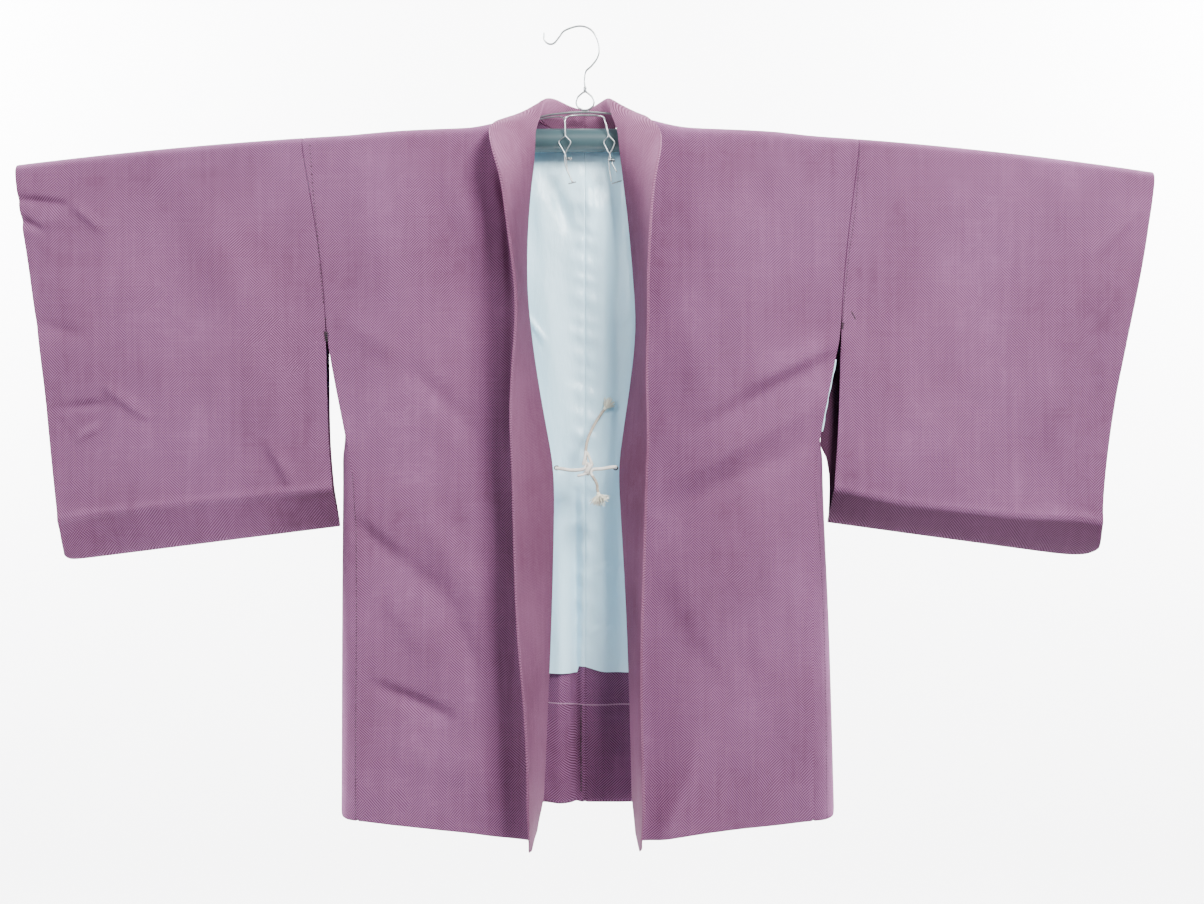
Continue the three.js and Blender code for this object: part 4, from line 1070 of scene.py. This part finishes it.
def make_shell(shell, settings):
    """One cloth piece: refined, creased and lined."""
    obj = refined(shell)
    points = mesh_points(obj.data)
    kind, _, side = shell.node.partition("_")
    keep_place(obj.data, points, kind)
    if kind in ("body", "lining", "facing"):
        points = close_seam(points, side)
    if kind == "gusset":
        points = tuck_gusset(points, side)
    inner = line_inside(obj, kind) if kind in ("body", "sleeve") else None
    points = push_cloth(points, settings)
    if kind in ("lining", "facing"):
        inward = inside_push(points[:, 0], points[:, 2])
        points[:, 1] -= inward
        if kind == "facing":
            points[:, 2] -= HEM_ROLL * inward * clamp_smooth(-points[:, 2], *HEM_TOP)
        else:
            points = notch_hem(points)
    if kind == "lining":
        points[:, 1] -= pucker_push(points)
    if shell.node == "sleeve_right":
        points = open_sleeve(points)
    if kind == "sleeve":
        keep_painted_band_shade(obj.data, points, side)
        points = fold_band(points, side)
    if kind in ("body", "gusset"):
        points = drop_hem(points)
    if kind == "collar":
        points = lean_peaks(points)
    set_points(obj.data, points)
    materials = [shell.slot]
    if kind in ("body", "sleeve"):
        materials.append("satin")
    # The sleeves' inner edges get a dark copy of the cloth as painted shade
    if kind == "sleeve":
        materials.append("cloth_painted_shade")
    finish_piece(obj, shell.slot, materials, shell.node)
    if inner is not None:
        obj.data.polygons.foreach_set("material_index", inner.astype(np.int32))
    return obj


# Stitches


def surface_of(nodes):
    """The finished cloth of some pieces, ready to be looked at from the front."""
    points, faces = [], []
    for node in nodes:
        mesh = bpy.data.objects[f"{node}_cloth"].data
        start = len(points)
        points.extend(Vector(co) for co in mesh_points(mesh))
        faces.extend([start + i for i in face.vertices] for face in mesh.polygons)
    return BVHTree.FromPolygons(points, faces)


def on_cloth(tree, x, z, lift):
    """The point of the cloth at x and z (metres) that the viewer sees, lifted towards them."""
    hit = tree.ray_cast(Vector((x, -1.0, z)), Vector((0.0, 1.0, 0.0)))[0]
    return None if hit is None else np.array(hit) - (0, lift, 0)


def make_stitches(row, rng):
    """One row of short threads that lie on the cloth."""
    tree = surface_of(row.nodes)
    line = smooth_line([(x * MM, 0, z * MM) for x, z in row.route], row.pitch * MM)
    ways = np.gradient(line, axis=0)
    ways /= np.linalg.norm(ways, axis=1)[:, None]
    parts = []
    for place, way in zip(line, ways):
        turn = math.radians(row.turn + rng.normal(0, 7))
        half = 0.5 * row.length * MM * rng.uniform(0.75, 1.15)
        dx = half * (way[0] * math.cos(turn) - way[2] * math.sin(turn))
        dz = half * (way[0] * math.sin(turn) + way[2] * math.cos(turn))
        lift = 0.5 * row.radius * MM
        ends = [
            on_cloth(tree, place[0] - dx, place[2] - dz, -STITCH_SINK),
            on_cloth(tree, place[0], place[2], lift),
            on_cloth(tree, place[0] + dx, place[2] + dz, -STITCH_SINK),
        ]
        if ends[0] is None or ends[2] is None:
            continue
        if ends[1] is None:
            ends[1] = (ends[0] + ends[2]) / 2 - (0, lift, 0)
        parts.append(tube(ends, row.radius * MM, STITCH_SIDES, half / 2))
    obj = joined_meshes(row.name, parts)
    return finish_piece(obj, "cloth", ["thread"])


def make_facing_fold():
    """The fine raised fold across the facing."""
    tree = surface_of(("facing_left", "facing_right"))
    line = smooth_line([(x * MM, 0, z * MM) for x, z in FACING_FOLD], 0.002)
    seen = (on_cloth(tree, x, z, 0.0) for x, _, z in line)
    route = [place for place in seen if place is not None]
    parts = tube(route, FACING_FOLD_RADIUS * MM, 8, 0.002)
    return finish_piece(mesh_object("facing_fold", *parts), "cloth", ["fold"])


def make_side_slit():
    """The thin edge of lining that shows in the right side's open slit."""
    points = mesh_points(bpy.data.objects["body_right_cloth"].data)
    front = points[points[:, 1] < 0]
    route = []
    for z in np.linspace(SIDE_SLIT["top"], SIDE_SLIT["bottom"], SIDE_SLIT["steps"]):
        near = front[np.abs(front[:, 2] - z) < 0.004]
        route.append((near[:, 0].max() + 0.0004, SIDE_SLIT["y"], z))
    parts = tube(route, SIDE_SLIT["radius"], 10, 0.003)
    return finish_piece(mesh_object("side_slit_lining", *parts), "satin", ["satin"])


# Tie and tassels


def braid(pitch, strands, depth):
    """A relief of two families of strands that cross round a cord."""

    def relief(along, turn):
        phase = 2 * math.pi * along / pitch
        one = abs(math.sin(0.5 * strands * turn + phase))
        two = abs(math.sin(0.5 * strands * turn - phase))
        return 1 - depth + depth * max(one, two)

    return relief


def make_tie(settings):
    """Both cords of the tie, each with its free end, and the knot where they cross."""
    radius, end = TIE_RADIUS * MM, END_RADIUS * MM
    knot = joined_meshes("tie_knot_wraps", [
        tube(metres(route), end * scale, 14, CORD_STEP, relief=braid(0.004, 6, 0.12))
        for route, scale in zip(KNOT_WRAPS, KNOT_SCALE)
    ])
    finish_piece(knot, "cord", ["cord", "cord_end"], "tie_knot")
    cords = (
        ("left", TIE_LEFT + END_UP, 0.30, ["tie_left", "tie_end_up"], "tassel_up"),
        ("right", TIE_RIGHT + END_DOWN, 0.55, ["tie_right", "tie_end_down"], "tassel_down"),
    )
    for side, route, thin_from, nodes, tassel in cords:
        line = smooth_line(metres(route), CORD_STEP)

        def taper(share, start=thin_from):
            return radius + (end - radius) * float(clamp_smooth(share, start - 0.1, start + 0.1))

        parts = tube(metres(route), taper, 16, CORD_STEP, relief=braid(0.0045, 8, 0.14))
        cord = mesh_object(f"tie_cord_{side}", *parts)
        finish_piece(cord, "cord", ["cord", "cord_end"], *nodes)
        count = len(cord.data.polygons)
        centres = np.empty(3 * count)
        cord.data.polygons.foreach_get("center", centres)
        past = centres.reshape(-1, 3)[:, 2]
        worn = (past > TIE_WORN_Z[0]) | (past < TIE_WORN_Z[1])
        cord.data.polygons.foreach_set("material_index", worn.astype(np.int32))
        head = make_tassel(tassel, route, settings)


def make_tassel(node, route, settings):
    """A fluffy tassel: a wound head and fine strands that fan out and curl a little."""
    facts = TASSELS[node]
    rng = np.random.default_rng(SEED)
    end, before = (np.array(route[i]) * MM for i in (-1, -2))
    axis = (end - before) / np.linalg.norm(end - before)
    side = np.cross(axis, (0.0, 1.0, 0.0))
    side /= np.linalg.norm(side)
    other = np.cross(axis, side)
    head = end + axis * TASSEL_HEAD["start"]

    def head_radius(share):
        swell = math.sin(math.pi * (0.15 + 0.8 * share))
        return TASSEL_HEAD["radius"] * swell + TASSEL_HEAD["edge"]

    parts = [
        tube([end, head, head + axis * TASSEL_HEAD["end"]], head_radius,
             14, 0.0004, relief=braid(0.003, 10, 0.15)),
    ]
    for _ in range(settings.strand_count):
        lean = math.radians(facts["spread"]) * math.sqrt(rng.random())
        turn = 2 * math.pi * rng.random()
        way = axis * math.cos(lean) + math.sin(lean) * (side * math.cos(turn) + other * math.sin(turn))
        curl = STRAND_CURL * rng.normal(size=3)
        reach = facts["length"] * MM * (0.72 + 0.26 * rng.random())
        root = head + way * 0.0008
        strand = [root, head + way * reach * 0.55 + 0.4 * curl, head + way * reach + 0.6 * curl]
        parts.append(tube(strand, STRAND_RADIUS, 4, reach / 5))
    obj = joined_meshes(f"{node}_strands", parts)
    return finish_piece(obj, "cord", ["tassel"], node)


def make_loops():
    """The two cord loops on the collar's inner edge."""
    for side, sign in SIDES.items():
        low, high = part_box(f"loop_{side}")
        centre = (low + high) / 2
        out = sign * LOOP_OUT * MM
        route = [
            (centre.x + out + LOOP_RADIUS * MM * math.cos(t), centre.y, centre.z
             + 0.9 * LOOP_RADIUS * MM * math.sin(t) + 1.5 * MM)
            for t in np.linspace(0, 2 * math.pi, 10, endpoint=False)
        ]
        parts = tube(route, LOOP_WIRE * MM, 10, CORD_STEP, closed=True, relief=braid(0.003, 5, 0.15))
        obj = mesh_object(f"loop_{side}_cord", *parts)
        finish_piece(obj, "cloth", ["thread"], f"loop_{side}")


# Hanger


def bar_z(x):
    """Height of the bar's centreline."""
    return BAR_Z - x * x / (2 * BAR_BOW["left" if x < 0 else "right"])


def make_bar():
    """The centre tube with rolled ends, and the two thinner arms with plugs in their ends."""
    half = BAR_CENTRE_HALF
    route = [(x, 0, bar_z(x)) for x in np.linspace(-half, half, 9)]

    def rolled(share):
        ends = min(share, 1 - share) * 2 * half
        return BAR_RADIUS - 0.0009 * (1 - float(clamp_smooth(ends, 0, 0.0016)))

    centre = mesh_object("bar_centre_tube", *tube(route, rolled, 32, 0.0012))
    finish_piece(centre, "tube", ["tube"], "bar_centre")
    for side, sign in SIDES.items():
        reach = [sign * v for v in np.linspace(half + 0.0004, BAR_END, 9)]
        arm = tube([(x, 0, bar_z(x)) for x in reach], ARM_RADIUS, 32, 0.003)
        obj = mesh_object(f"bar_arm_{side}_tube", *arm)
        finish_piece(obj, "tube", ["tube"], f"bar_arm_{side}")


def mirrored(half):
    """A route from a half that starts on the centre line."""
    return [(-x, y, z) for x, y, z in reversed(half[1:])] + half


def winding(centre, reach, half, wire, turns, upright):
    """(points, faces) of a small coil of wire about a level or upright axis (mm)."""
    route = []
    for t in np.linspace(0, 1, 12 * turns + 1):
        angle = 2 * math.pi * turns * t
        along = half * (2 * t - 1)
        round_one, round_two = reach * math.cos(angle), reach * math.sin(angle)
        offset = (round_one, round_two, along) if upright else (along, round_one, round_two)
        route.append(tuple(c + o for c, o in zip(centre, offset)))
    return tube(metres(route), wire * MM, 8, 0.0006)


def wire_piece(node, parts):
    """A wire piece in place of its CAD node."""
    return finish_piece(joined_meshes(f"{node}_wire", parts), "wire", ["wire"], node)


def make_wires():
    """Hook, ring, yoke with its brace, clip carrier and the two clips, in round wire."""
    twist = HOOK_TWIST
    middle = (0, 0, (twist["top"] + twist["bottom"]) / 2)
    wire_piece("hook", [
        tube(metres(HOOK_ROUTE), HOOK_WIRE * MM, 14, 0.0012),
        winding(middle, twist["reach"], (twist["top"] - twist["bottom"]) / 2, twist["wire"],
                twist["turns"], upright=True),
    ])
    wire_piece("ring", [tube(metres(RING_ROUTE), RING_WIRE * MM, 14, 0.001, closed=True)])
    wire_piece("yoke", [
        tube(metres(mirrored(YOKE_HALF_ROUTE)), YOKE_WIRE * MM, 14, 0.0015),
        tube(metres(BRACE_ROUTE), BRACE_WIRE * MM, 10, 0.0012),
    ])
    wire_piece("clip_carrier", [
        tube(metres(mirrored(CARRIER_HALF_ROUTE)), CARRIER_WIRE * MM, 12, 0.001),
    ])
    for side, rows in CLIP_ROUTES.items():
        parts = [
            tube([(x * MM, CLIP_Y * MM, z * MM) for x, z in rows[key]], CLIP_WIRE * MM, 10, 0.001)
            for key in ("eye", "eye_back", "bar")
        ]
        x, z = rows["coil"]
        parts.append(winding((x, CLIP_Y, z), COIL["reach"], COIL["half"], COIL["wire"],
                             COIL["turns"], upright=False))
        wire_piece(f"clip_{side}", parts)


# Stage


def make_camera():
    """The photograph's camera: level, square to the front."""
    data = bpy.data.cameras.new("camera")
    data.sensor_width = SENSOR_MM
    data.lens = SENSOR_MM * PHOTO_FOCUS_PX / PHOTO_WIDTH
    obj = collection_link(bpy.data.objects.new("camera", data))
    obj.location = CAMERA_PLACE
    obj.rotation_euler = (math.radians(90), 0, 0)
    bpy.context.scene.camera = obj


def area_light(light):
    """A soft square light aimed at a point, not seen itself."""
    data = bpy.data.lights.new(light.name, "AREA")
    data.size = light.size
    data.energy = light.power
    data.color = light.colour
    obj = collection_link(bpy.data.objects.new(light.name, data))
    obj.location = light.place
    way = Vector(light.aim) - Vector(light.place)
    obj.rotation_euler = way.to_track_quat("-Z", "Y").to_euler()
    obj.visible_camera = False


def make_floor():
    """A pale floor that curves up behind, drawn out sideways from its profile."""
    front, back = FLOOR_Y
    profile = [(front, FLOOR_Z), (back, FLOOR_Z)]
    for angle in np.linspace(0, math.pi / 2, 14)[1:]:
        profile.append((
            back + FLOOR_BEND * math.sin(angle), FLOOR_Z + FLOOR_BEND * (1 - math.cos(angle)),
        ))
    profile.append((back + FLOOR_BEND, FLOOR_TOP))
    made = bmesh.new()
    line = [made.verts.new((-FLOOR_HALF, y, z)) for y, z in profile]
    edges = [made.edges.new(pair) for pair in zip(line, line[1:])]
    grown = bmesh.ops.extrude_edge_only(made, edges=edges)["geom"]
    moved = [part for part in grown if isinstance(part, bmesh.types.BMVert)]
    bmesh.ops.translate(made, verts=moved, vec=(2 * FLOOR_HALF, 0, 0))
    mesh = bpy.data.meshes.new("floor")
    made.to_mesh(mesh)
    made.free()
    mesh.shade_smooth()
    floor = collection_link(bpy.data.objects.new("floor", mesh))
    tree = Tree("floor", 0.9)
    tree.set("Base Color", tree.mix(tree.noise(FLOOR_TONE), tree.low, tree.high))
    floor.data.materials.append(tree.material)


def make_stage():
    """The floor and soft studio light."""
    make_floor()
    world = bpy.data.worlds.new("studio")
    world.use_nodes = True
    background = world.node_tree.nodes["Background"]
    background.inputs[0].default_value = WORLD_COLOUR
    background.inputs[1].default_value = WORLD_STRENGTH
    bpy.context.scene.world = world
    for light in LIGHTS:
        area_light(light)


# Add-on


class HaoriSettings(bpy.types.PropertyGroup):
    """Sizes that the pieces are made from."""

    weave_pitch: bpy.props.FloatProperty(
        name="Weave pitch", description="Height of one row of the weave", default=0.0030,
        unit="LENGTH",
    )
    crease_scale: bpy.props.FloatProperty(
        name="Crease depth", description="Scales every crease of the cloth", default=2.3,
    )
    strand_count: bpy.props.IntProperty(
        name="Tassel strands", description="Fine strands in each tassel", default=210,
    )


class CameraOperator(bpy.types.Operator):
    """Make the materials and the photograph's camera"""

    bl_idname = "haori.camera"
    bl_label = "Camera"

    def execute(self, context):
        make_materials(context.scene.haori)
        make_camera()
        return {"FINISHED"}


class TieOperator(bpy.types.Operator):
    """Make the tie's cords, knot, tassels and loops"""

    bl_idname = "haori.tie"
    bl_label = "Tie"

    def execute(self, context):
        make_tie(context.scene.haori)
        make_loops()
        return {"FINISHED"}


class ClothOperator(bpy.types.Operator):
    """Make every cloth piece"""

    bl_idname = "haori.cloth"
    bl_label = "Cloth"

    def execute(self, context):
        for shell in SHELLS:
            make_shell(shell, context.scene.haori)
        return {"FINISHED"}


class StitchesOperator(bpy.types.Operator):
    """Make the stitches, the facing's fold and the lining's edge on the finished cloth"""

    bl_idname = "haori.stitches"
    bl_label = "Stitches"

    def execute(self, context):
        rng = np.random.default_rng(SEED)
        for row in STITCH_ROWS:
            make_stitches(row, rng)
        make_facing_fold()
        make_side_slit()
        return {"FINISHED"}


class HangerOperator(bpy.types.Operator):
    """Make the hanger's tube and wires"""

    bl_idname = "haori.hanger"
    bl_label = "Hanger"

    def execute(self, context):
        make_bar()
        make_wires()
        return {"FINISHED"}


class StageOperator(bpy.types.Operator):
    """Make the floor and the lights"""

    bl_idname = "haori.stage"
    bl_label = "Stage"

    def execute(self, context):
        make_stage()
        return {"FINISHED"}


class HaoriPanel(bpy.types.Panel):
    """Sidebar panel with the sizes and one button for each group of pieces"""

    bl_idname = "VIEW3D_PT_haori"
    bl_label = "Haori"
    bl_space_type = "VIEW_3D"
    bl_region_type = "UI"
    bl_category = "Haori"

    def draw(self, context):
        for name in ("weave_pitch", "crease_scale", "strand_count"):
            self.layout.prop(context.scene.haori, name)
        for operator in OPERATORS:
            self.layout.operator(operator.bl_idname)


OPERATORS = (
    CameraOperator, TieOperator, ClothOperator, StitchesOperator, HangerOperator, StageOperator,
)
CLASSES = (HaoriSettings, *OPERATORS, HaoriPanel)


def register():
    """Registers the add-on."""
    for cls in CLASSES:
        bpy.utils.register_class(cls)
    bpy.types.Scene.haori = bpy.props.PointerProperty(type=HaoriSettings)


def unregister():
    """Takes the add-on out again."""
    del bpy.types.Scene.haori
    for cls in reversed(CLASSES):
        bpy.utils.unregister_class(cls)


def main():
    """Makes every piece in order."""
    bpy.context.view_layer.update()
    register()
    bpy.ops.haori.camera()
    bpy.ops.haori.tie()
    bpy.ops.haori.cloth()
    bpy.ops.haori.stitches()
    bpy.ops.haori.hanger()
    bpy.ops.haori.stage()


if __name__ == "__main__":
    main()
